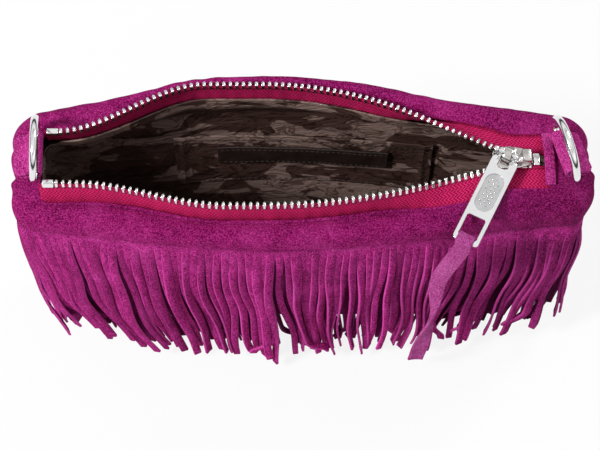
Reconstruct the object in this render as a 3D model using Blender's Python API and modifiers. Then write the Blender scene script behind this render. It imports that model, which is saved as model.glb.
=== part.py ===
"""Fringed suede zip-top bag, modelled in its own frame.

Metres, +Z up, +X to the right, the wearer's front towards -Y. The origin is the centre
of the base panel's flat underside.
"""

import math

import bpy
import bmesh
from mathutils import Matrix, Vector

# Sheet materials and the running gap between neighbouring pieces
SUEDE = 0.0014
FRINGE_SUEDE = 0.0010
LINING = 0.0008
TAPE = 0.0008
GAP = 0.0003

# Body of the bag: height of the zip line and the outline at the base and at the widest level
RIM_HEIGHT = 0.126
BASE_HALF_LENGTH = 0.106
BASE_HALF_DEPTH = 0.018
WIDEST_DROP = 0.020
BODY_HALF_LENGTH = 0.1295
BACK_BULGE = 0.045
FRONT_BULGE = 0.034
BACK_END_DEPTH = 0.027
FRONT_END_DEPTH = 0.019
BULGE_CENTRE = -0.012
BULGE_REACH = 0.150
BODY_CORNER = 0.011
MOUTH_CORNER = 0.005
CORNER_SHARE = 0.42
CORNER_FROM = math.radians(20)
CORNER_TO = math.radians(38)
BELLY = 1.35
FRONT_CROWN = 0.0025
BACK_CROWN = 0.009
CROWN_RUN = 0.030

# Mouth of the zip, open
MOUTH_LEFT = -0.1145
MOUTH_RIGHT = 0.1105
MOUTH_PEAK_X = -0.017
MOUTH_CLOSE_X = 0.092
BACK_MOUTH = 0.0378
FRONT_MOUTH = 0.0230
BACK_MOUTH_END = 0.0142
FRONT_MOUTH_END = 0.0126
BACK_RISE_X = -0.106
FRONT_RISE_X = -0.096
RISE_LENGTH = 0.064

# Where along the zip the tape turns from standing to flat, and leans at its left end
FLATTEN_FROM_X = 0.030
LEAN_FROM_X = -0.060
LEAN_RUN = 0.046

# Zip: tape, teeth, stops and slider
TAPE_WIDTH = 0.0115
LINING_SHOWN_FROM = 0.0072
LINING_END_RUN = 0.004
LINING_END_DROP = 0.0100
BACK_TAPE_SHOWN = 0.004
FRONT_TAPE_SHOWN = 0.009
FLAT_TAPE_SHOWN = 0.010
TAPE_LEFT = -0.1125
TAPE_RIGHT = 0.1100
STANDING_TILT = math.radians(87)
FLAT_TILT = math.radians(12)
LEFT_TILT = math.radians(74)
TOOTH_PITCH = 0.0029
TOOTH_WIDTH = 0.0016
TOOTH_REACH = 0.0030
TOOTH_THICK = 0.0024
BEAD_WIDTH = 0.0010
CHAIN_LEFT = -0.1055
CHAIN_RIGHT = 0.1005
STOP_LENGTH = 0.0052
BOTTOM_STOP_LENGTH = 0.0032
BOTTOM_STOP_RISE = 0.0006
END_STRIP_WIDTH = 0.0046
END_STRIP_HALF_LENGTH = 0.0128
SLIDER_LENGTH = 0.0175
SLIDER_WIDTH = 0.0110
SLIDER_PLATE = 0.0013
SLIDER_POST = (0.0030, 0.0018)
BRIDGE_RISE = 0.0052
BRIDGE_SPAN = 0.0084
BRIDGE_WIDTH = 0.0040
BRIDGE_THICK = 0.0014
BRIDGE_SQUARENESS = 0.6
METAL_EDGE = 0.0003
CUT_DEPTH = 0.010

# Zip pull: pin, plate and suede strap
PIN_RADIUS = 0.0009
PIN_PLAY = 0.0004
BALL_RADIUS = 0.0016
PULL_X = 0.0900
PULL_HEADING = math.radians(242)
PULL_DIP = math.radians(11.5)
PULL_LENGTH = 0.044
PULL_WIDTH = 0.0118
PULL_THICK = 0.0014
PULL_BAR = 0.0024
FORK_LENGTH = 0.0075
BALL_ROOM = 0.0040
WINDOW_LENGTH = 0.0100
WINDOW_WIDTH = 0.0084
KNUCKLE_WALL = 0.0009
STRAP_WIDTH = 0.0076
STRAP_THICK = 0.0012
STRAP_LENGTH = 0.101
STRAP_REACH = 0.015
STRAP_PINCH = 0.0030
STRAP_WRAP = 0.72
STRAP_FLAP = 0.012
STRAP_TWIST = math.radians(150)
STRAP_SWAY = 0.010

# Strap rings and the suede tabs that hold them
WIRE_RADIUS = 0.0018
RING_HALF_SPAN = 0.0138
RING_RISE = 0.0165
RING_CORNER = 0.0030
RING_LEAN = math.radians(8)
LEFT_RING_Y = 0.0030
RIGHT_RING_Y = -0.0005
LEFT_RING_SEAT = 0.97
RIGHT_RING_SEAT = 0.90
TAB_WIDTH = 0.0200
TAB_END = 0.50
TAB_TAIL = 0.16
LEFT_TAB_LIFT = 0.0007
RIGHT_TAB_LIFT = 0.0012
LEFT_RING_TURN = math.radians(3)
RIGHT_RING_TURN = math.radians(14)

# Fringe: two cut layers hanging from one seam round the front
FRINGE_DROP = 0.015
FRINGE_HEADER = 0.011
FRINGE_LENGTH = 0.102
FRINGE_FLARE = 0.009
INNER_PHASE = 0.45
INNER_REACH = 0.97
INNER_FLARE = 0.55
STRAND_WIDTH = 0.0031
STRAND_PITCH = 0.0039
FRINGE_FROM = math.radians(188)
FRINGE_TO = math.radians(352)

# Pocket and its bare label patch, on the back of the lining
POCKET_WIDTH = 0.122
POCKET_TOP = 0.089
POCKET_BOTTOM = 0.055
POCKET_X = 0.0015
POCKET_GAPE = 0.0030
LABEL_WIDTH = 0.081
LABEL_HEIGHT = 0.0116
LABEL_THICK = 0.0012
LABEL_BELOW_HEM = 0.0070

# Looseness of the lining inside the suede and of the pocket on the lining
LINING_EASE = 0.0009
POCKET_EASE = 0.0006
EDGE_EASE = 0.0004

# Side seams and the grid of the soft panels
SEAM_ANGLE = math.radians(15)
LOW_ROWS = 4
TURN_ROWS = 4
WALL_COLUMNS = 28
END_COLUMNS = 4

PALETTE = {
    "suede": ((0.29, 0.012, 0.16, 1.0), 0.95, 0.0),
    "suede_light": ((0.48, 0.04, 0.28, 1.0), 0.95, 0.0),
    "tape": ((0.42, 0.005, 0.07, 1.0), 0.8, 0.0),
    "lining": ((0.05, 0.035, 0.03, 1.0), 0.55, 0.0),
    "label": ((0.012, 0.006, 0.005, 1.0), 0.5, 0.0),
    "silver": ((0.80, 0.80, 0.82, 1.0), 0.15, 1.0),
}


def clamp(value, low=0.0, high=1.0):
    """Keep a value between two limits."""
    return max(low, min(high, value))


def smooth(value):
    """Ease from 0 to 1 with flat ends."""
    value = clamp(value)
    return value * value * (3.0 - 2.0 * value)


def lerp(start, end, share):
    """Blend linearly from start to end."""
    return start + (end - start) * share


def material(name):
    """Return the named material, made on first use."""
    found = bpy.data.materials.get(name)
    if found:
        return found
    colour, roughness, metallic = PALETTE[name]
    made = bpy.data.materials.new(name)
    made.use_nodes = True
    shader = made.node_tree.nodes["Principled BSDF"]
    shader.inputs["Base Color"].default_value = colour
    shader.inputs["Roughness"].default_value = roughness
    shader.inputs["Metallic"].default_value = metallic
    made.diffuse_color = colour
    return made


def link(name, mesh, look, collection, smooth_angle=35.0):
    """Put a mesh in a collection as a named object with its material."""
    made = bpy.data.objects.new(name, mesh)
    collection.objects.link(made)
    mesh.materials.clear()
    mesh.materials.append(material(look))
    mesh.shade_smooth()
    mesh.set_sharp_from_angle(angle=math.radians(smooth_angle))
    return made


def sheet(name, point, columns, rows, thickness, look, collection, offset=-1.0, cut=None, loop=False):
    """Bend a grid to point(u, v), drop the faces that cut names, and thicken it."""
    bm = bmesh.new()
    bmesh.ops.create_grid(bm, x_segments=columns, y_segments=rows, size=1.0)
    if cut:
        holes = []
        for face in bm.faces:
            centre = face.calc_center_median()
            column = int((centre.x + 1.0) / 2.0 * columns)
            row = int((centre.y + 1.0) / 2.0 * rows)
            if cut(column, row):
                holes.append(face)
        bmesh.ops.delete(bm, geom=holes, context="FACES")
    for vert in bm.verts:
        vert.co = point((vert.co.x + 1.0) / 2.0, (vert.co.y + 1.0) / 2.0)
    if loop:
        bmesh.ops.remove_doubles(bm, verts=bm.verts, dist=0.00001)
    mesh = bpy.data.meshes.new(name)
    bm.to_mesh(mesh)
    bm.free()
    made = link(name, mesh, look, collection)
    thick = made.modifiers.new("thickness", "SOLIDIFY")
    thick.thickness = thickness
    thick.offset = offset
    return made


def box(name, size, look, collection, bevel=0.0):
    """Box of the given size about its own centre, with rounded edges."""
    bm = bmesh.new()
    bmesh.ops.create_cube(bm, size=1.0)
    bmesh.ops.scale(bm, vec=Vector(size), verts=bm.verts)
    mesh = bpy.data.meshes.new(name)
    bm.to_mesh(mesh)
    bm.free()
    made = link(name, mesh, look, collection)
    if bevel:
        edge = made.modifiers.new("edge", "BEVEL")
        edge.width = bevel
        edge.segments = 1
    return made


def rod(name, radius, length, look, collection, sides=12):
    """Cylinder along its own X axis, centred on its origin."""
    bm = bmesh.new()
    bmesh.ops.create_cone(bm, cap_ends=True, segments=sides, radius1=radius, radius2=radius, depth=length)
    bmesh.ops.rotate(bm, verts=bm.verts, matrix=Matrix.Rotation(math.pi / 2, 3, "Y"))
    mesh = bpy.data.meshes.new(name)
    bm.to_mesh(mesh)
    bm.free()
    return link(name, mesh, look, collection)


def combine(target, other, operation="UNION"):
    """Join another object to the target, or cut it away."""
    other.hide_render = True
    other.display_type = "WIRE"
    step = target.modifiers.new(operation.lower(), "BOOLEAN")
    step.operation = operation
    step.solver = "EXACT"
    step.object = other


def place(thing, matrix):
    """Place an object by location and rotation."""
    thing.location = matrix.to_translation()
    thing.rotation_euler = matrix.to_euler()


# Outline of the body

def lens(x, end, centre):
    """Depth of the body at x: end depth plus the bulge in the middle."""
    swell = math.cos(math.pi / 2.0 * clamp(abs(x - BULGE_CENTRE) / BULGE_REACH)) ** 2
    return end + (centre - end) * swell


def around(angle, half, corner):
    """Rounded rectangle by angle: x for its half length, and y as a share of its half depth."""
    angle = math.remainder(angle, 2.0 * math.pi)
    side = 1.0 if angle >= 0.0 else -1.0
    end = 1.0 if abs(angle) <= math.pi / 2.0 else -1.0
    from_end = min(abs(angle), math.pi - abs(angle))
    if from_end < CORNER_FROM:
        return end * half, side * (1.0 - CORNER_SHARE) * from_end / CORNER_FROM
    if from_end < CORNER_TO:
        bend = math.pi / 2.0 * (from_end - CORNER_FROM) / (CORNER_TO - CORNER_FROM)
        return end * (half - corner * (1.0 - math.cos(bend))), side * (1.0 - CORNER_SHARE * (1.0 - math.sin(bend)))
    run = (from_end - CORNER_TO) / (math.pi / 2.0 - CORNER_TO)
    return end * (half - corner) * (1.0 - run), side


def body_size(height):
    """Half length and spread of the body at a height: spread is 0 at the base, 1 at the widest."""
    spread = 1.0 - (1.0 - clamp(height / (RIM_HEIGHT - WIDEST_DROP))) ** BELLY
    return lerp(BASE_HALF_LENGTH, BODY_HALF_LENGTH, spread), spread


def outline(angle, height, grow=0.0):
    """Point on the body's outer face at a height up to the widest level."""
    half, spread = body_size(height)
    x, share = around(angle, half + grow, BODY_CORNER)
    end, centre = (BACK_END_DEPTH, BACK_BULGE) if share >= 0.0 else (FRONT_END_DEPTH, FRONT_BULGE)
    foot = lens(x, min(end, BASE_HALF_DEPTH), BASE_HALF_DEPTH)
    depth = lerp(foot, lens(x, end, centre), spread) + grow
    return Vector((x, depth * share, height))


def angle_of(x, height, grow):
    """Angle at which the back of the outline reaches x."""
    half = body_size(height)[0] + grow - BODY_CORNER
    turn = (math.pi / 2.0 - CORNER_TO) * (1.0 - abs(x) / half)
    return CORNER_TO + turn if x >= 0.0 else math.pi - CORNER_TO - turn


def mouth(x, side):
    """Distance of the open zip line from the middle plane; side is +1 for the back, -1 for the front."""
    peak, end, rise = (BACK_MOUTH, BACK_MOUTH_END, BACK_RISE_X) if side > 0 else (
        FRONT_MOUTH, FRONT_MOUTH_END, FRONT_RISE_X)
    closed = TOOTH_REACH + 3.0 * GAP + TOOTH_THICK / 2.0 * math.sin(FLAT_TILT)
    if x < MOUTH_PEAK_X:
        return lerp(end, peak, smooth((x - rise) / RISE_LENGTH))
    share = clamp((x - MOUTH_PEAK_X) / (MOUTH_CLOSE_X - MOUTH_PEAK_X))
    return lerp(closed, peak, math.cos(math.pi / 2.0 * share))


def tilt(x):
    """Angle of the tape below level: standing along the open mouth, flat at its closed end."""
    right = smooth((x - FLATTEN_FROM_X) / (MOUTH_CLOSE_X - FLATTEN_FROM_X))
    left = smooth((LEAN_FROM_X - x) / LEAN_RUN)
    return lerp(lerp(STANDING_TILT, FLAT_TILT, right), LEFT_TILT, left)


def tape_point(x, across, lift, side):
    """Point on the tape: across runs from the teeth outwards, lift is along its upper face's normal."""
    lean = tilt(x)
    y = mouth(x, side) + across * math.cos(lean) + lift * math.sin(lean)
    z = RIM_HEIGHT - across * math.sin(lean) + lift * math.cos(lean)
    return Vector((x, side * y, z))


def tape_shown(x, side):
    """Width of tape left showing between the teeth and the suede's turned edge."""
    standing = BACK_TAPE_SHOWN if side > 0 else FRONT_TAPE_SHOWN
    return lerp(standing, FLAT_TAPE_SHOWN, smooth((x - FLATTEN_FROM_X) / (MOUTH_CLOSE_X - FLATTEN_FROM_X)))


def mouth_edge(angle, lift, extra=0.0):
    """Point on the loop round the mouth; lift is above the tape, extra is further across it."""
    middle = (MOUTH_LEFT + MOUTH_RIGHT) / 2.0
    run, share = around(angle, (MOUTH_RIGHT - MOUTH_LEFT) / 2.0, MOUTH_CORNER)
    x = middle + run
    side = 1.0 if share >= 0.0 else -1.0
    point = tape_point(x, tape_shown(x, side) + extra, lift, side)
    crest = RIM_HEIGHT + lift + GAP if x > 0.0 else point.z
    return Vector((x, point.y * abs(share), lerp(crest, point.z, abs(share))))


def shoulder(angle, step):
    """Outer face above the widest level: step runs from 0 there to 1 at the turned edge."""
    low = outline(angle, RIM_HEIGHT - WIDEST_DROP)
    edge = mouth_edge(angle, TAPE / 2.0 + EDGE_EASE + GAP + SUEDE)
    crown = FRONT_CROWN
    if low.y > 0.0:
        crown = lerp(FRONT_CROWN, BACK_CROWN, smooth((BODY_HALF_LENGTH - abs(low.x)) / CROWN_RUN))
    turn = Vector((low.x, low.y, edge.z + crown))
    return low * (1.0 - step) ** 2 + turn * (2.0 * step * (1.0 - step)) + edge * step ** 2


def wall(angle, share):
    """Outer face of the body from the base, share 0, to the turned edge at the mouth, share 1."""
    turn_from = LOW_ROWS / (LOW_ROWS + TURN_ROWS)
    if share <= turn_from:
        return outline(angle, lerp(SUEDE + GAP, RIM_HEIGHT - WIDEST_DROP, share / turn_from))
    return shoulder(angle, (share - turn_from) / (1.0 - turn_from))


def suede_body(bag):
    """Front, back and two gussets of suede, butted at the side seams, on a flat base."""
    spans = {
        "back_panel": (SEAM_ANGLE, math.pi - SEAM_ANGLE, WALL_COLUMNS),
        "left_gusset": (math.pi - SEAM_ANGLE, math.pi + SEAM_ANGLE, END_COLUMNS),
        "front_panel": (math.pi + SEAM_ANGLE, 2 * math.pi - SEAM_ANGLE, WALL_COLUMNS),
        "right_gusset": (2 * math.pi - SEAM_ANGLE, 2 * math.pi + SEAM_ANGLE, END_COLUMNS),
    }
    relief = GAP / BASE_HALF_DEPTH
    for name, (start, end, columns) in spans.items():
        def point(u, v, start=start, end=end):
            return wall(lerp(start + relief, end - relief, u), v)
        sheet(name, point, columns, LOW_ROWS + TURN_ROWS, SUEDE, "suede", bag)

    def base(u, v):
        ring = outline(2.0 * math.pi * u, 0.0)
        return Vector((ring.x * v, ring.y * v, 0.0))
    sheet("base_panel", base, 32, 1, SUEDE, "suede", bag, loop=True)


def lining_rows(angle):
    """Outer face of the lining bag, row by row from its bottom to its edge on the tape."""
    inset = SUEDE + GAP + LINING_EASE
    foot = 2.0 * SUEDE + 3.0 * GAP
    top = RIM_HEIGHT - TAPE_WIDTH - 2.0 * SUEDE - WIDEST_DROP / 2.0
    rows = [outline(angle, lerp(foot, top, n / LOW_ROWS), -inset) for n in range(LOW_ROWS + 1)]
    drop = -(TAPE / 2.0 + GAP + LINING_EASE)
    for across in (TAPE_WIDTH + 2.0 * GAP, LINING_SHOWN_FROM):
        side_x = mouth_edge(angle, drop).x
        side = 1.0 if math.sin(angle) >= 0.0 else -1.0
        edge = mouth_edge(angle, drop, across - tape_shown(side_x, side))
        if abs(edge.x) > abs(TAPE_LEFT) - LINING_END_RUN:
            edge.z = min(edge.z, RIM_HEIGHT - max(across, LINING_END_DROP))
        rows.append(edge)
    return rows


def lining_bag(bag):
    """Nylon lining: one open bag inside the suede, with its slip pocket and bare label patch."""
    rows = LOW_ROWS + 3

    def point(u, v):
        section = lining_rows(2.0 * math.pi * u)
        row = int(round(v * rows))
        if row == 0:
            return Vector((0.0, 0.0, section[0].z))
        return section[row - 1]
    sheet("lining", point, 2 * WALL_COLUMNS, rows, LINING, "lining", bag, loop=True)

    def back_face(x, height, inset):
        return outline(angle_of(x, height, -inset), height, -inset)

    stack = SUEDE + GAP + LINING_EASE + LINING + GAP + POCKET_EASE

    def pocket(u, v):
        x = POCKET_X + (0.5 - u) * POCKET_WIDTH
        height = lerp(POCKET_BOTTOM, POCKET_TOP, v)
        gape = POCKET_GAPE * math.sin(math.pi * u) * smooth(v)
        return back_face(x, height, stack) - Vector((0.0, gape, 0.0))
    sheet("slip_pocket", pocket, 12, 4, LINING, "lining", bag)

    def label(u, v):
        half = LABEL_WIDTH / 2.0 / POCKET_WIDTH
        top = (POCKET_TOP - LABEL_BELOW_HEM - POCKET_BOTTOM) / (POCKET_TOP - POCKET_BOTTOM)
        low = top - LABEL_HEIGHT / (POCKET_TOP - POCKET_BOTTOM)
        place_on = pocket(lerp(0.5 - half, 0.5 + half, u), lerp(low, top, v))
        return place_on - Vector((0.0, LINING + GAP + POCKET_EASE / 2.0, 0.0))
    sheet("label_patch", label, 8, 1, LABEL_THICK, "label", bag)


# Zip

def zip_sides(bag):
    """Woven tapes, tooth chains and top stops of both sides."""
    for name, side in (("back", 1.0), ("front", -1.0)):
        def tape(u, v, side=side):
            return tape_point(lerp(TAPE_LEFT, TAPE_RIGHT, u), TAPE_WIDTH * v, 0.0, side)
        sheet(f"{name}_zip_tape", tape, 36, 2, TAPE, "tape", bag, offset=0.0)

        teeth = int(round(chain_length(side) / TOOTH_PITCH))
        columns = 2 * teeth - 1
        stations = chain_stations(side, teeth)

        def chain(u, v, side=side, columns=columns, stations=stations):
            x = stations[int(round(u * columns))]
            across = (-GAP, -GAP - BEAD_WIDTH, -GAP - TOOTH_REACH)[int(round(v * 2))]
            return tape_point(x, across, 0.0, side)
        sheet(f"{name}_zip_teeth", chain, columns, 2, TOOTH_THICK, "silver", bag, offset=0.0,
              cut=lambda column, row: row == 1 and column % 2 == 1)

        stop = box(f"{name}_top_stop", (STOP_LENGTH, TOOTH_REACH, TOOTH_THICK), "silver", bag, METAL_EDGE)
        x = CHAIN_LEFT - GAP - STOP_LENGTH / 2.0
        spot = tape_point(x, -GAP - TOOTH_REACH / 2.0, 0.0, side)
        slope = -side * tilt(x)
        place(stop, Matrix.Translation(spot) @ Matrix.Rotation(slope, 4, "X"))


def chain_length(side):
    """Length of a tooth chain along its curve."""
    steps = 200
    points = [tape_point(lerp(CHAIN_LEFT, CHAIN_RIGHT, n / steps), 0.0, 0.0, side) for n in range(steps + 1)]
    return sum((b - a).length for a, b in zip(points, points[1:]))


def chain_stations(side, teeth):
    """X of both flanks of every tooth, evenly spaced along the chain's curve."""
    steps = 1000
    xs = [lerp(CHAIN_LEFT, CHAIN_RIGHT, n / steps) for n in range(steps + 1)]
    run = [0.0]
    for a, b in zip(xs, xs[1:]):
        run.append(run[-1] + (tape_point(b, 0.0, 0.0, side) - tape_point(a, 0.0, 0.0, side)).length)
    pitch = (run[-1] - TOOTH_WIDTH) / (teeth - 1)
    stations = []
    index = 0
    for n in range(2 * teeth):
        want = (n // 2) * pitch + (n % 2) * TOOTH_WIDTH
        while index < steps - 1 and run[index + 1] < want:
            index += 1
        share = clamp((want - run[index]) / (run[index + 1] - run[index]))
        stations.append(lerp(xs[index], xs[index + 1], share))
    return stations


def slider_frame():
    """Levels of the slider: undersides and tops of its plates about the chain."""
    tip_rise = (TOOTH_REACH + GAP) * math.sin(FLAT_TILT)
    ceiling = RIM_HEIGHT + tip_rise + TOOTH_THICK / 2.0 + GAP
    floor = RIM_HEIGHT - TOOTH_THICK / 2.0 - TAPE - GAP
    return floor, ceiling


def zip_slider(bag, helpers):
    """Slider: two plates about the chain, a post between them and a bridge for the pull."""
    floor, ceiling = slider_frame()
    slider = box("slider_body", (SLIDER_LENGTH, SLIDER_WIDTH, SLIDER_PLATE), "silver", bag, METAL_EDGE)
    slider.location = (MOUTH_CLOSE_X, 0.0, ceiling + SLIDER_PLATE / 2.0)
    under = box("slider_under", (SLIDER_LENGTH, SLIDER_WIDTH, SLIDER_PLATE), "silver", helpers)
    under.location = (MOUTH_CLOSE_X, 0.0, floor - SLIDER_PLATE / 2.0)
    post_height = ceiling - floor + SLIDER_PLATE
    post = box("slider_post", (SLIDER_POST[0], SLIDER_POST[1], post_height), "silver", helpers)
    post.location = (MOUTH_CLOSE_X - SLIDER_LENGTH / 2.0 + SLIDER_POST[0] / 2.0, 0.0, (ceiling + floor) / 2.0)

    top = ceiling + SLIDER_PLATE
    sunk = SLIDER_PLATE / 2.0

    def bridge(u, v):
        turn = math.pi * u
        x = -math.cos(turn) * (BRIDGE_SPAN - BRIDGE_THICK) / 2.0
        z = (BRIDGE_RISE - BRIDGE_THICK / 2.0 + sunk) * math.sin(turn) ** BRIDGE_SQUARENESS - sunk
        return Vector((x, (v - 0.5) * BRIDGE_WIDTH, z))
    arch = sheet("slider_bridge", bridge, 12, 1, BRIDGE_THICK, "silver", helpers, offset=0.0)
    place(arch, Matrix.Translation((PULL_X, 0.0, top)) @ Matrix.Rotation(PULL_HEADING, 4, "Z"))
    combine(slider, under)
    combine(slider, post)
    combine(slider, arch)

    stop_size = (BOTTOM_STOP_LENGTH, 2.0 * TOOTH_REACH, TOOTH_THICK + BOTTOM_STOP_RISE)
    stop = box("bottom_stop", stop_size, "silver", bag, METAL_EDGE)
    stop_x = MOUTH_CLOSE_X + SLIDER_LENGTH / 2.0 + GAP + BOTTOM_STOP_LENGTH / 2.0
    stop.location = (stop_x, 0.0, RIM_HEIGHT + BOTTOM_STOP_RISE)


def pull_frame():
    """Frame of the pull: X along the pin, Y down the plate, Z out of its upper face."""
    _, ceiling = slider_frame()
    level = ceiling + SLIDER_PLATE + BRIDGE_RISE - BRIDGE_THICK - PIN_RADIUS - PIN_PLAY
    pin = Vector((PULL_X, 0.0, level))
    down = Vector((
        math.cos(PULL_HEADING) * math.cos(PULL_DIP),
        math.sin(PULL_HEADING) * math.cos(PULL_DIP),
        -math.sin(PULL_DIP),
    ))
    along = Vector((-math.sin(PULL_HEADING), math.cos(PULL_HEADING), 0.0))
    up = along.cross(down)
    rows = Matrix((along, down, up)).transposed().to_4x4()
    return Matrix.Translation(pin) @ rows, pin, along, down


def zip_pull(bag, helpers):
    """Pin with ball ends, flat plate with a window, and the suede strap looped through it."""
    frame, pin_centre, along, down = pull_frame()
    lug = (BRIDGE_WIDTH + 4.0 * GAP) / 2.0
    pin_length = PULL_WIDTH - PIN_PLAY

    pin = rod("pull_pin", PIN_RADIUS, pin_length, "silver", bag)
    place(pin, frame)
    for n, end in enumerate((-1.0, 1.0)):
        ball = bpy.data.meshes.new(f"ball_{n}")
        bm = bmesh.new()
        bmesh.ops.create_uvsphere(bm, u_segments=12, v_segments=8, radius=BALL_RADIUS)
        bm.to_mesh(ball)
        bm.free()
        tip = link(f"ball_{n}", ball, "silver", helpers)
        place(tip, frame @ Matrix.Translation((end * pin_length / 2.0, 0.0, 0.0)))
        combine(pin, tip)

    plate = box("pull_plate", (PULL_WIDTH, PULL_LENGTH, PULL_THICK), "silver", bag, METAL_EDGE)
    place(plate, frame @ Matrix.Translation((0.0, PULL_LENGTH / 2.0, 0.0)))
    fork = box("plate_fork", (2.0 * lug, 2.0 * FORK_LENGTH, CUT_DEPTH), "silver", helpers)
    place(fork, frame)
    combine(plate, fork, "DIFFERENCE")
    for n, end in enumerate((-1.0, 1.0)):
        reach = pin_length / 2.0 - BALL_RADIUS - GAP - lug
        knuckle = rod(f"knuckle_{n}", PIN_RADIUS + GAP + KNUCKLE_WALL, reach, "silver", helpers, 16)
        place(knuckle, frame @ Matrix.Translation((end * (lug + reach / 2.0), 0.0, 0.0)))
        combine(plate, knuckle)
    for n, end in enumerate((-1.0, 1.0)):
        corner = box(f"ball_room_{n}", (BALL_ROOM, 2.0 * BALL_RADIUS + 4.0 * GAP, CUT_DEPTH), "silver", helpers)
        room_x = pin_length / 2.0 - BALL_RADIUS - GAP + BALL_ROOM / 2.0
        place(corner, frame @ Matrix.Translation((end * room_x, 0.0, 0.0)))
        combine(plate, corner, "DIFFERENCE")
    hole = rod("pin_hole", PIN_RADIUS + GAP, 2.0 * PULL_WIDTH, "silver", helpers)
    place(hole, frame)
    combine(plate, hole, "DIFFERENCE")
    window = box("plate_window", (WINDOW_WIDTH, WINDOW_LENGTH, CUT_DEPTH), "silver", helpers)
    place(window, frame @ Matrix.Translation((0.0, PULL_LENGTH - PULL_BAR - WINDOW_LENGTH / 2.0, 0.0)))
    combine(plate, window, "DIFFERENCE")

    bar = pin_centre + down * (PULL_LENGTH - PULL_BAR / 2.0)
    outward = Vector((down.x, down.y, 0.0)).normalized()
    path = strap_path()

    def strap(u, v):
        place_on = u * (len(path) - 1)
        n = min(int(place_on), len(path) - 2)
        out, drop, turn = (lerp(path[n][k], path[n + 1][k], place_on - n) for k in range(3))
        across = along * math.cos(turn) + outward * math.sin(turn)
        sway = along * (-STRAP_SWAY * smooth(-drop / STRAP_LENGTH))
        return bar + outward * out + Vector((0.0, 0.0, drop)) + sway + across * ((v - 0.5) * STRAP_WIDTH)
    sheet("pull_strap", strap, len(path) - 1, 1, STRAP_THICK, "suede_light", bag, offset=0.0)


def strap_path():
    """Path of the strap round the plate's end bar: outward offset, height and twist of each point."""
    half_bar = math.hypot(PULL_BAR, PULL_THICK) / 2.0
    radius = half_bar + GAP + STRAP_THICK / 2.0
    leg = (STRAP_THICK + GAP) / 2.0
    path = [(leg, -STRAP_FLAP, 0.0), (leg, -radius - STRAP_PINCH, 0.0)]
    turns = 10
    for n in range(turns + 1):
        angle = lerp(-STRAP_WRAP, math.pi + STRAP_WRAP, n / turns)
        path.append((radius * math.cos(angle), radius * math.sin(angle), 0.0))
    path.append((-leg, -radius - STRAP_PINCH, 0.0))
    falls = 9
    for n in range(falls + 1):
        share = n / falls
        drop = lerp(STRAP_FLAP + 3.0 * GAP, STRAP_LENGTH, share)
        out = lerp(-leg, STRAP_REACH, smooth(share))
        path.append((out, -drop, STRAP_TWIST * smooth((share - 0.35) / 0.5)))
    return path


# Strap rings

def ring_path():
    """Closed centre line of a ring: straight bar on the Y axis with an arched top."""
    points = []
    corner = 4
    for n in range(corner + 1):
        angle = math.pi / 2.0 * n / corner
        points.append((RING_HALF_SPAN - RING_CORNER * (1.0 - math.sin(angle)), RING_CORNER * (1.0 - math.cos(angle))))
    arch = 12
    for n in range(1, arch):
        angle = math.pi * n / arch
        rise = RING_RISE - RING_CORNER
        points.append((RING_HALF_SPAN * math.cos(angle), RING_CORNER + rise * math.sin(angle)))
    for n in range(corner + 1):
        angle = math.pi / 2.0 * (corner - n) / corner
        points.append((-RING_HALF_SPAN + RING_CORNER * (1.0 - math.sin(angle)), RING_CORNER * (1.0 - math.cos(angle))))
    return points


def strap_rings(bag):
    """Round-wire rings that stand in folded suede tabs at both ends of the bag."""
    for name, side, turn in (("left", -1.0, LEFT_RING_TURN), ("right", 1.0, RIGHT_RING_TURN)):
        hinge = bpy.data.objects.new(f"{name}_ring_axis", None)
        bag.objects.link(hinge)
        hinge.location = ring_spot(side)
        hinge.rotation_euler = (0.0, 0.0, turn)

        curve = bpy.data.curves.new(f"{name}_ring", "CURVE")
        curve.dimensions = "3D"
        curve.bevel_depth = WIRE_RADIUS
        curve.bevel_resolution = 2
        spline = curve.splines.new("POLY")
        points = ring_path()
        spline.points.add(len(points) - 1)
        for knot, (y, z) in zip(spline.points, points):
            knot.co = (0.0, y, z, 1.0)
        spline.use_cyclic_u = True
        curve.materials.append(material("silver"))
        ring = bpy.data.objects.new(f"{name}_ring", curve)
        bag.objects.link(ring)
        ring.parent = hinge
        ring.rotation_euler = (0.0, -side * RING_LEAN, 0.0)

        path = tab_path(side)

        def tab(u, v, path=path):
            return path[int(round(u * (len(path) - 1)))] + Vector((0.0, (v - 0.5) * TAB_WIDTH, 0.0))
        made = sheet(f"{name}_ring_tab", tab, len(path) - 1, 1, SUEDE, "suede_light", bag, offset=0.0)
        made.parent = hinge


def ring_place(side):
    """An end's angle, the ring's place on the shoulder, its place across the bag and its tab's lift."""
    if side > 0.0:
        return 0.0, RIGHT_RING_SEAT, RIGHT_RING_Y, RIGHT_TAB_LIFT
    return math.pi, LEFT_RING_SEAT, LEFT_RING_Y, LEFT_TAB_LIFT


def ring_spot(side):
    """Centre of a ring's bar, carried by its tab above the turned end of the body."""
    angle, step, y, lift = ring_place(side)
    seat = shoulder(angle, step)
    return Vector((seat.x, y, seat.z + lift + SUEDE + GAP + WIRE_RADIUS))


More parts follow.
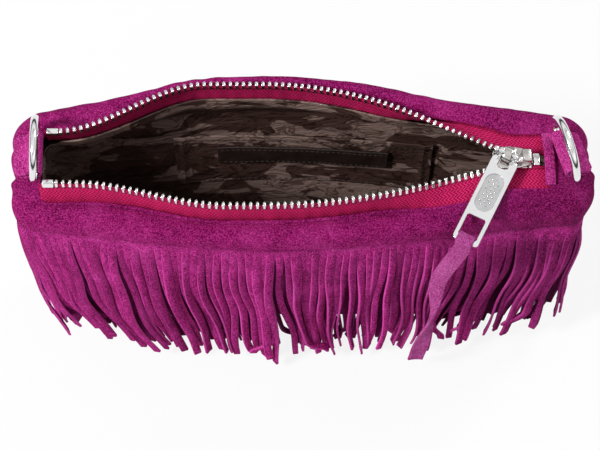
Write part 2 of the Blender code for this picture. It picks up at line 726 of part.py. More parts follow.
def tab_path(side):
    """Section of a tab about the ring's bar: down the body's end, round the bar and back."""
    angle, seat_step, _, lift = ring_place(side)
    centre = ring_spot(side)
    radius = WIRE_RADIUS + GAP + SUEDE / 2.0

    def beside(step, off):
        here = shoulder(angle, step)
        run = shoulder(angle, step - 0.02) - here
        normal = Vector((-run.z * side, 0.0, run.x * side)).normalized()
        spot = here + normal * off
        return Vector((spot.x - centre.x, 0.0, spot.z - centre.z))
    tail = 4
    steps = [lerp(TAB_END, seat_step - TAB_TAIL, n / (tail - 1)) for n in range(tail)]
    path = [beside(step, lift + SUEDE / 2.0) for step in steps]
    turns = 11
    for n in range(turns + 1):
        bend = lerp(-math.pi / 2.0, math.pi, n / turns)
        path.append(Vector((-side * radius * math.cos(bend), 0.0, radius * math.sin(bend))))
    path.extend(beside(step, lift + 1.5 * SUEDE + 2.0 * GAP) for step in reversed(steps))
    return path


def zip_end_strip(bag):
    """Suede strip across the closed end of the zip."""
    start = MOUTH_RIGHT - GAP - END_STRIP_WIDTH

    def strip(u, v):
        x = lerp(start, MOUTH_RIGHT - GAP, u)
        y = lerp(-END_STRIP_HALF_LENGTH, END_STRIP_HALF_LENGTH, v)
        edge = tape_point(x, tape_shown(x, 1.0), TAPE / 2.0 + GAP + SUEDE, 1.0)
        crest = RIM_HEIGHT + TAPE / 2.0 + 2.0 * GAP + SUEDE
        share = abs(y) / edge.y
        return Vector((x, y, crest + (edge.z - crest) * share + SUEDE + 2.0 * GAP))
    sheet("zip_end_strip", strip, 2, 8, SUEDE, "suede_light", bag)


def fringes(bag):
    """Two cut layers of suede, each a header strip that runs on into its strands."""
    top = RIM_HEIGHT - FRINGE_DROP
    length = fringe_run(top)
    for name, lift, phase, segments, reach, spread in (
        ("fringe_inner", GAP + FRINGE_SUEDE, INNER_PHASE, 2, INNER_REACH, INNER_FLARE),
        ("fringe_outer", 2.0 * (GAP + FRINGE_SUEDE) + GAP, 0.0, 3, 1.0, 1.0),
    ):
        strands = int((length - phase * STRAND_PITCH) / STRAND_PITCH)
        columns = 2 * strands - 1
        rows = segments + 1

        def comb(u, v, lift=lift, phase=phase, columns=columns, rows=rows, reach=reach, spread=spread):
            column = int(round(u * columns))
            row = rows - int(round(v * rows))
            run = (column // 2 + phase) * STRAND_PITCH + (column % 2) * STRAND_WIDTH
            angle = lerp(FRINGE_FROM, FRINGE_TO, clamp(fringe_share(top, run / length)))
            head = outline(angle, top, lift)
            if row == 0:
                return head
            if row == 1:
                at = outline(angle, top - FRINGE_HEADER, lift)
                hang = Vector((head.x, head.y, top - FRINGE_HEADER))
                return hang.lerp(at, 0.2)
            strand = column // 2
            share = (row - 1) / (rows - 1)
            wobble = math.sin(strand * 2.4) * 0.5 + math.sin(strand * 0.9 + 1.0) * 0.5
            drop = FRINGE_HEADER + (FRINGE_LENGTH - FRINGE_HEADER) * share * (reach + 0.025 * wobble)
            flare = FRINGE_FLARE * spread * share * (1.0 + 0.35 * wobble)
            return Vector((head.x, head.y - flare, top - drop))
        sheet(name, comb, columns, rows, FRINGE_SUEDE, "suede", bag, cut=lambda column, row, rows=rows: (
            row < rows - 1 and column % 2 == 1))


def fringe_run(height):
    """Length of the fringe's seam round the front."""
    steps = 400
    points = [outline(lerp(FRINGE_FROM, FRINGE_TO, n / steps), height) for n in range(steps + 1)]
    return sum((b - a).length for a, b in zip(points, points[1:]))


def fringe_share(height, share):
    """Angle share at which a share of the seam's length is reached."""
    if not hasattr(fringe_share, "table"):
        steps = 1200
        points = [outline(lerp(FRINGE_FROM, FRINGE_TO, n / steps), height) for n in range(steps + 1)]
        run = [0.0]
        for a, b in zip(points, points[1:]):
            run.append(run[-1] + (b - a).length)
        fringe_share.table = [r / run[-1] for r in run]
    table = fringe_share.table
    low, high = 0, len(table) - 1
    while high - low > 1:
        middle = (low + high) // 2
        if table[middle] <= share:
            low = middle
        else:
            high = middle
    inside = (share - table[low]) / max(table[high] - table[low], 1e-9)
    return (low + inside) / (len(table) - 1)


def main():
    """Clear the scene and build every piece of the bag."""
    for old in list(bpy.data.objects):
        bpy.data.objects.remove(old, do_unlink=True)
    bag = bpy.data.collections.new("fringed_suede_bag")
    helpers = bpy.data.collections.new("cutters")
    bpy.context.scene.collection.children.link(bag)
    bpy.context.scene.collection.children.link(helpers)
    suede_body(bag)
    lining_bag(bag)
    zip_sides(bag)
    zip_slider(bag, helpers)
    zip_pull(bag, helpers)
    strap_rings(bag)
    zip_end_strip(bag)
    fringes(bag)


main()
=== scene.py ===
"""Looks of the fringed suede bag: fine surfaces, fringe, zip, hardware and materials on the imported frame."""

import bisect
import math
import random
from types import SimpleNamespace

import bpy
import bmesh
from mathutils import Matrix, Vector, noise


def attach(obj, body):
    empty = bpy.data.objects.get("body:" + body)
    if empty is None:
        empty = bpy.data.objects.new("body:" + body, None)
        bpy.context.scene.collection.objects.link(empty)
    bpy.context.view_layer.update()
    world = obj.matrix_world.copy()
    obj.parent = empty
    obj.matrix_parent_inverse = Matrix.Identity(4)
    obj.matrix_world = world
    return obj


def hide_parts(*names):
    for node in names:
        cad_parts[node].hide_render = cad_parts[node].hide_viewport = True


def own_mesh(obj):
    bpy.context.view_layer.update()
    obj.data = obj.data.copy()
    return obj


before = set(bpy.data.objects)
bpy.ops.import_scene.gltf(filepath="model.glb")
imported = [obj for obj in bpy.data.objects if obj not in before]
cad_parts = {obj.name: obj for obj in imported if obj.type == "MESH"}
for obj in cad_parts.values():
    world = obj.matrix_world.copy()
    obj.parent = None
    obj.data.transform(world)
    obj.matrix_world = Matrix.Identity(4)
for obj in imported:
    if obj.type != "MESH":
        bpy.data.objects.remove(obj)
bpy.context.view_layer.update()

# Sizes of the bag, in metres, as in its solids
SUEDE = 0.0014
FRINGE_SUEDE = 0.0011
LINING = 0.0008
TAPE = 0.0008
GAP = 0.0003
RIM_HEIGHT = 0.126
BASE_HALF_LENGTH = 0.106
BASE_HALF_DEPTH = 0.018
WIDEST_DROP = 0.020
BODY_HALF_LENGTH = 0.1295
BACK_BULGE = 0.045
FRONT_BULGE = 0.034
BACK_END_DEPTH = 0.027
FRONT_END_DEPTH = 0.019
BULGE_CENTRE = -0.012
BULGE_REACH = 0.150
BODY_CORNER = 0.011
MOUTH_CORNER = 0.005
CORNER_SHARE = 0.42
CORNER_FROM = math.radians(20)
CORNER_TO = math.radians(38)
BELLY = 1.35
FRONT_CROWN = 0.0025
BACK_CROWN = 0.009
CROWN_RUN = 0.030
MOUTH_LEFT = -0.1145
MOUTH_RIGHT = 0.1105
MOUTH_PEAK_X = -0.017
MOUTH_CLOSE_X = 0.092
BACK_MOUTH = 0.0378
FRONT_MOUTH = 0.0230
BACK_MOUTH_END = 0.0142
FRONT_MOUTH_END = 0.0126
BACK_RISE_X = -0.106
FRONT_RISE_X = -0.096
RISE_LENGTH = 0.064
FLATTEN_FROM_X = 0.030
LEAN_FROM_X = -0.060
LEAN_RUN = 0.046
TAPE_WIDTH = 0.0115
LINING_SHOWN_FROM = 0.0072
LINING_END_RUN = 0.004
LINING_END_DROP = 0.0100
BACK_TAPE_SHOWN = 0.004
FRONT_TAPE_SHOWN = 0.009
FLAT_TAPE_SHOWN = 0.010
TAPE_LEFT = -0.1125
TAPE_RIGHT = 0.1100
STANDING_TILT = math.radians(87)
FLAT_TILT = math.radians(12)
LEFT_TILT = math.radians(74)
TOOTH_PITCH = 0.0029
TOOTH_WIDTH = 0.0016
TOOTH_REACH = 0.0030
TOOTH_THICK = 0.0024
CHAIN_LEFT = -0.1055
CHAIN_RIGHT = 0.1005
STOP_LENGTH = 0.0052
BOTTOM_STOP_LENGTH = 0.0032
BOTTOM_STOP_RISE = 0.0006
END_STRIP_WIDTH = 0.0046
END_STRIP_HALF_LENGTH = 0.0128
SLIDER_LENGTH = 0.0175
SLIDER_WIDTH = 0.0110
SLIDER_PLATE = 0.0013
BRIDGE_RISE = 0.0052
BRIDGE_SPAN = 0.0084
BRIDGE_WIDTH = 0.0040
BRIDGE_THICK = 0.0014
BRIDGE_SQUARENESS = 0.6
PIN_RADIUS = 0.0009
PIN_PLAY = 0.0004
BALL_RADIUS = 0.0016
PULL_X = 0.0900
PULL_HEADING = math.radians(242)
PULL_DIP = math.radians(11.5)
PULL_LENGTH = 0.044
PULL_WIDTH = 0.0118
PULL_THICK = 0.0014
PULL_BAR = 0.0024
WINDOW_LENGTH = 0.0100
WINDOW_WIDTH = 0.0084
KNUCKLE_WALL = 0.0009
STRAP_WIDTH = 0.0076
STRAP_THICK = 0.0012
STRAP_LENGTH = 0.101
STRAP_REACH = 0.015
STRAP_PINCH = 0.0030
STRAP_WRAP = 0.72
STRAP_FLAP = 0.012
STRAP_TWIST = math.radians(150)
STRAP_SWAY = 0.010
WIRE_RADIUS = 0.0018
RING_HALF_SPAN = 0.0138
RING_RISE = 0.0165
RING_CORNER = 0.0030
RING_LEAN = math.radians(8)
LEFT_RING_Y = 0.0030
RIGHT_RING_Y = -0.0005
LEFT_RING_SEAT = 0.97
RIGHT_RING_SEAT = 0.90
TAB_WIDTH = 0.0200
TAB_END = 0.50
TAB_TAIL = 0.16
TAB_SHORTER = 0.15
LEFT_TAB_LIFT = 0.0007
RIGHT_TAB_LIFT = 0.0012
LEFT_RING_TURN = math.radians(3)
RIGHT_RING_TURN = math.radians(14)
FRINGE_DROP = 0.015
FRINGE_LENGTH = 0.102
FRINGE_FLARE = 0.009
FRINGE_FROM = math.radians(188)
FRINGE_TO = math.radians(352)
POCKET_WIDTH = 0.122
POCKET_TOP = 0.089
POCKET_BOTTOM = 0.055
POCKET_X = 0.0015
POCKET_GAPE = 0.0030
LABEL_WIDTH = 0.081
LABEL_HEIGHT = 0.0116
LABEL_THICK = 0.0012
RECESS_DEPTH = 0.00045
LABEL_BELOW_HEM = 0.0070
LINING_EASE = 0.0009
POCKET_EASE = 0.0006
EDGE_EASE = 0.0004
SEAM_ANGLE = math.radians(15)

# How far the soft pieces draw in as the zip closes
BODY_KEEP = 0.12
LINING_KEEP = 0.10
ZIP_KEEP = 0.08
END_STRIP_KEEP = 0.50

# Raised closed end of the slider
HUMP_LENGTH = 0.0046
HUMP_WIDTH = 0.0060
HUMP_RISE = 0.0030

# Yoke over the fringe's sewn edge, and the fringe's lean from left to right
YOKE_OVERLAP = 0.0018
YOKE_END_RUN = math.radians(6)
YOKE_FLAT = 0.30
# Painted shade: how much darker the yoke's right end is painted
YOKE_RIGHT_PAINTED_SHADE = 0.22
FLOW_LEFT = 0.014
FLOW_RIGHT = -0.008
BAND_HEIGHT = 0.0145
END_SHORTER_LEFT = 0.15
END_SHORTER_RIGHT = 0.09
TUCK_FROM = 0.110
TUCK_KEEP = 0.70
FRONT_TUCK_FROM = 0.020
FRONT_TUCK_KEEP = 0.80
BACK_LIP_RISE = 0.0016


def clamp(value, low=0.0, high=1.0):
    """Keep a value between two limits."""
    return max(low, min(high, value))


def smooth(value):
    """Ease from 0 to 1 with flat ends."""
    value = clamp(value)
    return value * value * (3.0 - 2.0 * value)


def lerp(start, end, share):
    """Blend linearly from start to end."""
    return start + (end - start) * share


def rough(x, y, z, seed=0.0):
    """Smooth noise between -1 and 1."""
    return noise.noise(Vector((x + seed, y - seed * 0.7, z + seed * 0.3)))


# Shape functions of the body, mouth and tape

def ease(value, start, end):
    """Ease from 0 at start to 1 at end, whichever of the two is larger."""
    return smooth((value - start) / (end - start))


def rough_at(point, scales, seed):
    """Smooth noise at a point, with its own scale along each axis."""
    return rough(*(place * scale for place, scale in zip(point, scales)), seed)


def outward(before, after):
    """Level direction along a line, and the level direction away from the bag."""
    tangent = (after - before).normalized()
    return tangent, Vector((tangent.y, -tangent.x, 0.0)).normalized()


def lens(x, end, centre):
    """Depth of the body at x: end depth plus the bulge in the middle."""
    swell = math.cos(math.pi / 2.0 * clamp(abs(x - BULGE_CENTRE) / BULGE_REACH)) ** 2
    return end + (centre - end) * swell


def around(angle, half, corner):
    """Rounded rectangle by angle: x for its half length, and y as a share of its half depth."""
    angle = math.remainder(angle, 2.0 * math.pi)
    side = 1.0 if angle >= 0.0 else -1.0
    end = 1.0 if abs(angle) <= math.pi / 2.0 else -1.0
    from_end = min(abs(angle), math.pi - abs(angle))
    if from_end < CORNER_FROM:
        return end * half, side * (1.0 - CORNER_SHARE) * from_end / CORNER_FROM
    if from_end < CORNER_TO:
        bend = math.pi / 2.0 * (from_end - CORNER_FROM) / (CORNER_TO - CORNER_FROM)
        level = 1.0 - CORNER_SHARE * (1.0 - math.sin(bend))
        return end * (half - corner * (1.0 - math.cos(bend))), side * level
    run = (from_end - CORNER_TO) / (math.pi / 2.0 - CORNER_TO)
    return end * (half - corner) * (1.0 - run), side


def body_size(height):
    """Half length and spread of the body at a height: spread is 0 at the base, 1 at the widest."""
    spread = 1.0 - (1.0 - clamp(height / (RIM_HEIGHT - WIDEST_DROP))) ** BELLY
    return lerp(BASE_HALF_LENGTH, BODY_HALF_LENGTH, spread), spread


def running_length(points):
    """Length along a line of points, up to each of them."""
    run = [0.0]
    for a, b in zip(points, points[1:]):
        run.append(run[-1] + (b - a).length)
    return run


def locate(run, want):
    """Stretch in which a running length lies, and its share of that stretch."""
    index = min(max(bisect.bisect_right(run, want) - 1, 0), len(run) - 2)
    return index, clamp((want - run[index]) / max(run[index + 1] - run[index], 1e-9))


def outline(angle, height, grow=0.0):
    """Point on the body's outer face at a height up to the widest level."""
    half, spread = body_size(height)
    x, share = around(angle, half + grow, BODY_CORNER)
    end, centre = (BACK_END_DEPTH, BACK_BULGE) if share >= 0.0 else (FRONT_END_DEPTH, FRONT_BULGE)
    foot = lens(x, min(end, BASE_HALF_DEPTH), BASE_HALF_DEPTH)
    depth = lerp(foot, lens(x, end, centre), spread) + grow
    return Vector((x, depth * share, height))


def angle_of(x, height, grow):
    """Angle at which the back of the outline reaches x."""
    half = body_size(height)[0] + grow - BODY_CORNER
    turn = (math.pi / 2.0 - CORNER_TO) * (1.0 - abs(x) / half)
    return CORNER_TO + turn if x >= 0.0 else math.pi - CORNER_TO - turn


def mouth(x, side):
    """Distance of the open zip line from the middle plane; side is +1 for the back, -1 for the front."""
    peak, end, rise = (BACK_MOUTH, BACK_MOUTH_END, BACK_RISE_X) if side > 0 else (
        FRONT_MOUTH, FRONT_MOUTH_END, FRONT_RISE_X)
    closed = TOOTH_REACH + 3.0 * GAP + TOOTH_THICK / 2.0 * math.sin(FLAT_TILT)
    if x < MOUTH_PEAK_X:
        return lerp(end, peak, smooth((x - rise) / RISE_LENGTH))
    share = clamp((x - MOUTH_PEAK_X) / (MOUTH_CLOSE_X - MOUTH_PEAK_X))
    return lerp(closed, peak, math.cos(math.pi / 2.0 * share))


def tilt(x):
    """Angle of the tape below level: standing along the open mouth, flat at its closed end."""
    right = ease(x, FLATTEN_FROM_X, MOUTH_CLOSE_X)
    left = smooth((LEAN_FROM_X - x) / LEAN_RUN)
    return lerp(lerp(STANDING_TILT, FLAT_TILT, right), LEFT_TILT, left)


def tape_point(x, across, lift, side):
    """Point on the tape: across runs from the teeth outwards, lift is along its upper face's normal."""
    lean = tilt(x)
    y = mouth(x, side) + across * math.cos(lean) + lift * math.sin(lean)
    z = RIM_HEIGHT - across * math.sin(lean) + lift * math.cos(lean)
    return Vector((x, side * y, z))


def tape_shown(x, side):
    """Width of tape left showing between the teeth and the suede's turned edge."""
    standing = BACK_TAPE_SHOWN if side > 0 else FRONT_TAPE_SHOWN
    return lerp(standing, FLAT_TAPE_SHOWN, ease(x, FLATTEN_FROM_X, MOUTH_CLOSE_X))


def mouth_edge(angle, lift, extra=0.0):
    """Point on the loop round the mouth; lift is above the tape, extra is further across it."""
    middle = (MOUTH_LEFT + MOUTH_RIGHT) / 2.0
    run, share = around(angle, (MOUTH_RIGHT - MOUTH_LEFT) / 2.0, MOUTH_CORNER)
    x = middle + run
    side = 1.0 if share >= 0.0 else -1.0
    point = tape_point(x, tape_shown(x, side) + extra, lift, side)
    crest = RIM_HEIGHT + lift + GAP if x > 0.0 else point.z
    return Vector((x, point.y * abs(share), lerp(crest, point.z, abs(share))))


def shoulder(angle, step):
    """Outer face above the widest level: step runs from 0 there to 1 at the turned edge."""
    low = outline(angle, RIM_HEIGHT - WIDEST_DROP)
    edge = mouth_edge(angle, TAPE / 2.0 + EDGE_EASE + GAP + SUEDE)
    crown = FRONT_CROWN
    if low.y > 0.0:
        crown = lerp(FRONT_CROWN, BACK_CROWN, smooth((BODY_HALF_LENGTH - abs(low.x)) / CROWN_RUN))
    turn = Vector((low.x, low.y, edge.z + crown))
    return low * (1.0 - step) ** 2 + turn * (2.0 * step * (1.0 - step)) + edge * step ** 2


def wall(angle, share):
    """Outer face of the body from the base, share 0, to the turned edge at the mouth, share 1."""
    if share <= 0.6:
        return outline(angle, lerp(SUEDE + GAP, RIM_HEIGHT - WIDEST_DROP, share / 0.6))
    return shoulder(angle, (share - 0.6) / 0.4)


# Mesh helpers

METAL_CREASE = 40.0
CLOTH_CREASE = 50.0


def new_object(name, mesh, look):
    """Link a mesh as an object with its material, shaded smooth."""
    made = bpy.data.objects.new(name, mesh)
    bpy.context.scene.collection.objects.link(made)
    mesh.materials.clear()
    mesh.materials.append(look)
    mesh.shade_smooth()
    return made


def grid(name, point, columns, rows, size, look):
    """Surface point(u, v) over a grid, with UVs in metres for woven and stitched patterns."""
    verts = [point(i / columns, j / rows) for j in range(rows + 1) for i in range(columns + 1)]
    line = columns + 1
    faces = [
        (j * line + i, j * line + i + 1, (j + 1) * line + i + 1, (j + 1) * line + i)
        for j in range(rows) for i in range(columns)
    ]
    mesh = bpy.data.meshes.new(name)
    mesh.from_pydata(verts, [], faces)
    layer = mesh.uv_layers.new(name="UVMap")
    for loop in mesh.loops:
        index = loop.vertex_index
        layer.data[loop.index].uv = ((index % line) / columns * size[0], (index // line) / rows * size[1])
    return new_object(name, mesh, look)


def apply_all(made):
    """Bake an object's modifiers into its mesh."""
    deps = bpy.context.evaluated_depsgraph_get()
    mesh = bpy.data.meshes.new_from_object(made.evaluated_get(deps))
    old = made.data
    made.modifiers.clear()
    made.data = mesh
    if isinstance(old, bpy.types.Mesh):
        bpy.data.meshes.remove(old)
    return made


def thicken(made, thickness, offset=-1.0, soften=0.0):
    """Give a surface its thickness, with softened raw edges."""
    thick = made.modifiers.new("thickness", "SOLIDIFY")
    thick.thickness = thickness
    thick.offset = offset
    if soften:
        edge = made.modifiers.new("edge", "BEVEL")
        edge.width = soften
        edge.segments = 2
        edge.limit_method = "ANGLE"
        edge.angle_limit = math.radians(CLOTH_CREASE)
    return apply_all(made)


def weld(made, distance=0.00001):
    """Merge points that coincide."""
    bm = bmesh.new()
    bm.from_mesh(made.data)
    bmesh.ops.remove_doubles(bm, verts=bm.verts, dist=distance)
    bm.to_mesh(made.data)
    bm.free()
    made.data.shade_smooth()
    return made


def shade(made, name, value):
    """Give a mesh a named value at each of its points."""
    layer = made.data.attributes.new(name, "FLOAT", "POINT")
    for spot, vert in zip(layer.data, made.data.vertices):
        spot.value = value(vert.co)


def from_bmesh(name, bm, look, sharp=None):
    """Object from a working mesh, with edges beyond an angle in degrees kept crisp."""
    mesh = bpy.data.meshes.new(name)
    bm.to_mesh(mesh)
    bm.free()
    made = new_object(name, mesh, look)
    if sharp:
        mesh.set_sharp_from_angle(angle=math.radians(sharp))
    return made


def add_line(curve, points, closed):
    """Add a line of straight stretches to a curve."""
    spline = curve.splines.new("POLY")
    spline.points.add(len(points) - 1)
    for knot, point in zip(spline.points, points):
        knot.co = (*point, 1.0)
    spline.use_cyclic_u = closed


def from_curve(curve, look):
    """Object with the mesh of a curve."""
    name = curve.name
    holder = bpy.data.objects.new(name, curve)
    bpy.context.scene.collection.objects.link(holder)
    deps = bpy.context.evaluated_depsgraph_get()
    mesh = bpy.data.meshes.new_from_object(holder.evaluated_get(deps))
    bpy.data.objects.remove(holder, do_unlink=True)
    return new_object(name, mesh, look)


def join(name, pieces, sharp=None):
    """Join several mesh objects into one."""
    bm = bmesh.new()
    look = pieces[0].data.materials[0]
    for piece in pieces:
        bm.from_mesh(piece.data)
        bpy.data.objects.remove(piece, do_unlink=True)
    return from_bmesh(name, bm, look, sharp)


def at(x, y, z):
    """Move to a place."""
    return Matrix.Translation((x, y, z))


def place(made, matrix):
    """Move an object's mesh into place, leaving the object at the origin."""
    made.data.transform(matrix)
    return made


def block(name, size, look, bevel, segments=3):
    """Box about its own centre with rounded edges."""
    bm = bmesh.new()
    bmesh.ops.create_cube(bm, size=1.0)
    bmesh.ops.scale(bm, vec=Vector(size), verts=bm.verts)
    bmesh.ops.bevel(bm, geom=list(bm.edges), offset=bevel, segments=segments, profile=0.5, affect="EDGES")
    return from_bmesh(name, bm, look, METAL_CREASE)


def rod(name, radius, length, look, sides=32):
    """Cylinder along its own X axis."""
    bm = bmesh.new()
    bmesh.ops.create_cone(bm, cap_ends=True, segments=sides, radius1=radius, radius2=radius, depth=length)
    bmesh.ops.rotate(bm, verts=bm.verts, matrix=Matrix.Rotation(math.pi / 2.0, 3, "Y"))
    return from_bmesh(name, bm, look, METAL_CREASE)


def ball(name, radius, look):
    """Sphere about its own centre."""
    bm = bmesh.new()
    bmesh.ops.create_uvsphere(bm, u_segments=28, v_segments=18, radius=radius)
    return from_bmesh(name, bm, look)


def tube(name, points, radius, look, closed=False, sides=5):
    """Round wire along a list of points."""
    curve = bpy.data.curves.new(name, "CURVE")
    curve.dimensions = "3D"
    curve.bevel_depth = radius
    curve.bevel_resolution = sides
    curve.use_fill_caps = not closed
    add_line(curve, points, closed)
    return from_curve(curve, look)


def stitches(name, points, facing, length, width, gap, look):
    """A row of sewn stitches: short rounded threads along a line, facing one way."""
    run = running_length(points)
    count = int(run[-1] / (length + gap))
    bm = bmesh.new()
    for n in range(count):
        index, share = locate(run, (n + 0.5) * run[-1] / count)
        along = (points[index + 1] - points[index]).normalized()
        side = along.cross(facing).normalized()
        up = side.cross(along).normalized()
        matrix = Matrix((along, side, up)).transposed().to_4x4()
        matrix.translation = points[index].lerp(points[index + 1], share)
        made = bmesh.ops.create_uvsphere(bm, u_segments=8, v_segments=5, radius=1.0)
        for vert in made["verts"]:
            x, y, z = vert.co
            vert.co = matrix @ Vector((z * length / 2.0, y * width / 2.0, x * width * 0.4))
    return from_bmesh(name, bm, look)


def settle(made, body, stands_for=(), keep=None):
    """Attach a piece to what it rides on and hide the parts it replaces; with a keep share, give it its own
    mesh.
    """
    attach(made, body)
    if stands_for:
        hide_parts(*stands_for)
    if keep:
        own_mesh(made)
    return made


# Materials

BRUSHED_SHARE = 0.35
SPECK_SHARE = 0.60
RAW_EDGE_SHARE = 0.50
# Near-black magenta that painted shade and the strands' random dark tone mix towards
PAINTED_SHADE_AND_TONE_DARK = (0.030, 0.001, 0.016)
TWILL_ROWS = 700.0
TWILL_RIBS = 1150.0
THREAD_RIBS = 9000.0
TAPE_DARK = (0.28, 0.001, 0.034)
TAPE_MID = (0.58, 0.006, 0.098)
TAPE_LIGHT = (0.80, 0.04, 0.22)
BLOTCH_SCALE = 50.0
LEAF_SCALE = 88.0


def shader_of(name):
    """New material with its node tree and Principled shader."""
    made = bpy.data.materials.new(name)
    made.use_nodes = True
    return made, made.node_tree, made.node_tree.nodes["Principled BSDF"]


def feed(tree, socket, value):
    """Link a socket to another, or set its own number or colour."""
    if isinstance(value, bpy.types.NodeSocket):
        tree.links.new(value, socket)
    else:
        socket.default_value = (*value, 1.0) if isinstance(value, tuple) else value


def dress(tree, shader, values):
    """Link or set the shader's sockets, by name."""
    for name, value in values.items():
        feed(tree, shader.inputs[name], value)


def attribute(tree, name):
    """Value that the mesh carries at each point."""
    node = tree.nodes.new("ShaderNodeAttribute")
    node.attribute_name = name
    return node.outputs["Fac"]


def ribs(tree, where, rate):
    """Even ribs between 0 and 1 along a coordinate."""
    return calc(tree, "MULTIPLY_ADD", calc(tree, "SINE", calc(tree, "MULTIPLY", where, rate)), 0.5, 0.5)


def noise_node(tree, source, scale, detail=3.0, roughness=0.5, distortion=0.0):
    """Noise texture on the given coordinates."""
    node = tree.nodes.new("ShaderNodeTexNoise")
    dress(tree, node, {"Vector": source, "Scale": scale, "Detail": detail})
    dress(tree, node, {"Roughness": roughness, "Distortion": distortion})
    return node.outputs["Fac"]


def ramp_node(tree, source, stops):
    """Colour ramp with the given (position, colour) stops."""
    node = tree.nodes.new("ShaderNodeValToRGB")
    elements = node.color_ramp.elements
    while len(elements) < len(stops):
        elements.new(0.5)
    for element, (position, colour) in zip(elements, stops):
        element.position = position
        element.color = (*colour, 1.0)
    tree.links.new(source, node.inputs["Fac"])
    return node.outputs["Color"]


def mix_colour(tree, share, first, second, mode="MIX"):
    """Mix two colours. Share, first and second are sockets or values."""
    node = tree.nodes.new("ShaderNodeMix")
    node.data_type = "RGBA"
    node.blend_type = mode
    for index, value in ((0, share), (6, first), (7, second)):
        feed(tree, node.inputs[index], value)
    return node.outputs[2]


def calc(tree, operation, *values):
    """Math node on sockets or numbers."""
    node = tree.nodes.new("ShaderNodeMath")
    node.operation = operation
    for socket, value in zip(node.inputs, values):
        feed(tree, socket, value)
    return node.outputs[0]


def bump_node(tree, height, strength, distance, normal=None):
    """Bump from a height socket."""
    node = tree.nodes.new("ShaderNodeBump")
    dress(tree, node, {"Height": height, "Strength": strength, "Distance": distance})
    if normal:
        tree.links.new(normal, node.inputs["Normal"])
    return node.outputs["Normal"]


def object_coordinates(tree):
    """Coordinates that stay with the object."""
    return tree.nodes.new("ShaderNodeTexCoord").outputs["Object"]


def grey_ramp(tree, source, stops):
    """Ramp between greys, given as (position, value) stops."""
    return ramp_node(tree, source, [(position, (value,) * 3) for position, value in stops])


def suede_look(name, dark, mid, light):
    """Napped suede: speckled fibres, brushed patches, pale raw edges, random tone and painted shade from a
    per-point value, velvet edge.
    """
    made, tree, shader = shader_of(name)
    where = object_coordinates(tree)
    patches = noise_node(tree, where, 60.0, 3.0, 0.6, 0.5)
    brushed = noise_node(tree, where, 480.0, 4.0, 0.62, 0.2)
    fibres = noise_node(tree, where, 1600.0, 2.0, 0.75)
    base = ramp_node(tree, patches, [(0.34, dark), (0.50, mid), (0.68, light)])
    streak = ramp_node(tree, brushed, [(0.37, dark), (0.50, mid), (0.65, light)])
    speck = ramp_node(tree, fibres, [(0.43, dark), (0.50, mid), (0.58, light)])
    colour = mix_colour(tree, BRUSHED_SHARE, base, streak)
    colour = mix_colour(tree, SPECK_SHARE, colour, speck)
    pale = tuple(min(1.0, c * 1.25 + 0.02) for c in light)
    raw_edge = calc(tree, "MULTIPLY", attribute(tree, "raw_edge"), RAW_EDGE_SHARE)
    colour = mix_colour(tree, raw_edge, colour, pale)
    # Painted shade: the colour darkens towards near-black magenta by the per-point value, which also carries
    # the strands' random tone
    colour = mix_colour(tree, attribute(tree, "painted_shade_and_tone"), colour, PAINTED_SHADE_AND_TONE_DARK)
    coarse = bump_node(tree, brushed, 0.7, 0.0014)
    dress(tree, shader, {
        "Base Color": colour,
        "Roughness": 0.95,
        "Specular IOR Level": 0.04,
        "Sheen Weight": 0.06,
        "Sheen Roughness": 0.40,
        "Sheen Tint": (1.0, 0.15, 0.50),
        "Normal": bump_node(tree, fibres, 0.9, 0.0007, coarse),
    })
    return made


def tape_look():
    """Woven zip tape: fine herringbone ribs in bright crimson."""
    made, tree, shader = shader_of("woven_tape")
    split = tree.nodes.new("ShaderNodeSeparateXYZ")
    tree.links.new(tree.nodes.new("ShaderNodeTexCoord").outputs["UV"], split.inputs[0])
    along, across = split.outputs["X"], split.outputs["Y"]
    zig = calc(tree, "PINGPONG", calc(tree, "MULTIPLY", across, TWILL_ROWS), 1.0)
    slant = calc(tree, "MULTIPLY", zig, 2.2)
    twill = ribs(tree, calc(tree, "ADD", calc(tree, "MULTIPLY", along, TWILL_RIBS), slant), 3.1416)
    twill = calc(tree, "MULTIPLY", twill, 0.75)
    weave = calc(tree, "MULTIPLY_ADD", ribs(tree, across, THREAD_RIBS), 0.25, twill)
    wear = noise_node(tree, object_coordinates(tree), 180.0)
    colour = ramp_node(tree, weave, [(0.1, TAPE_DARK), (0.55, TAPE_MID), (0.9, TAPE_LIGHT)])
    tint = ramp_node(tree, wear, [(0.3, (0.85, 0.8, 0.85)), (0.7, (1.0, 1.0, 1.0))])
    dress(tree, shader, {
        "Base Color": mix_colour(tree, 1.0, colour, tint, "MULTIPLY"),
        "Roughness": 0.80,
        "Specular IOR Level": 0.15,
        "Normal": bump_node(tree, weave, 0.6, 0.0003),
    })
    return made


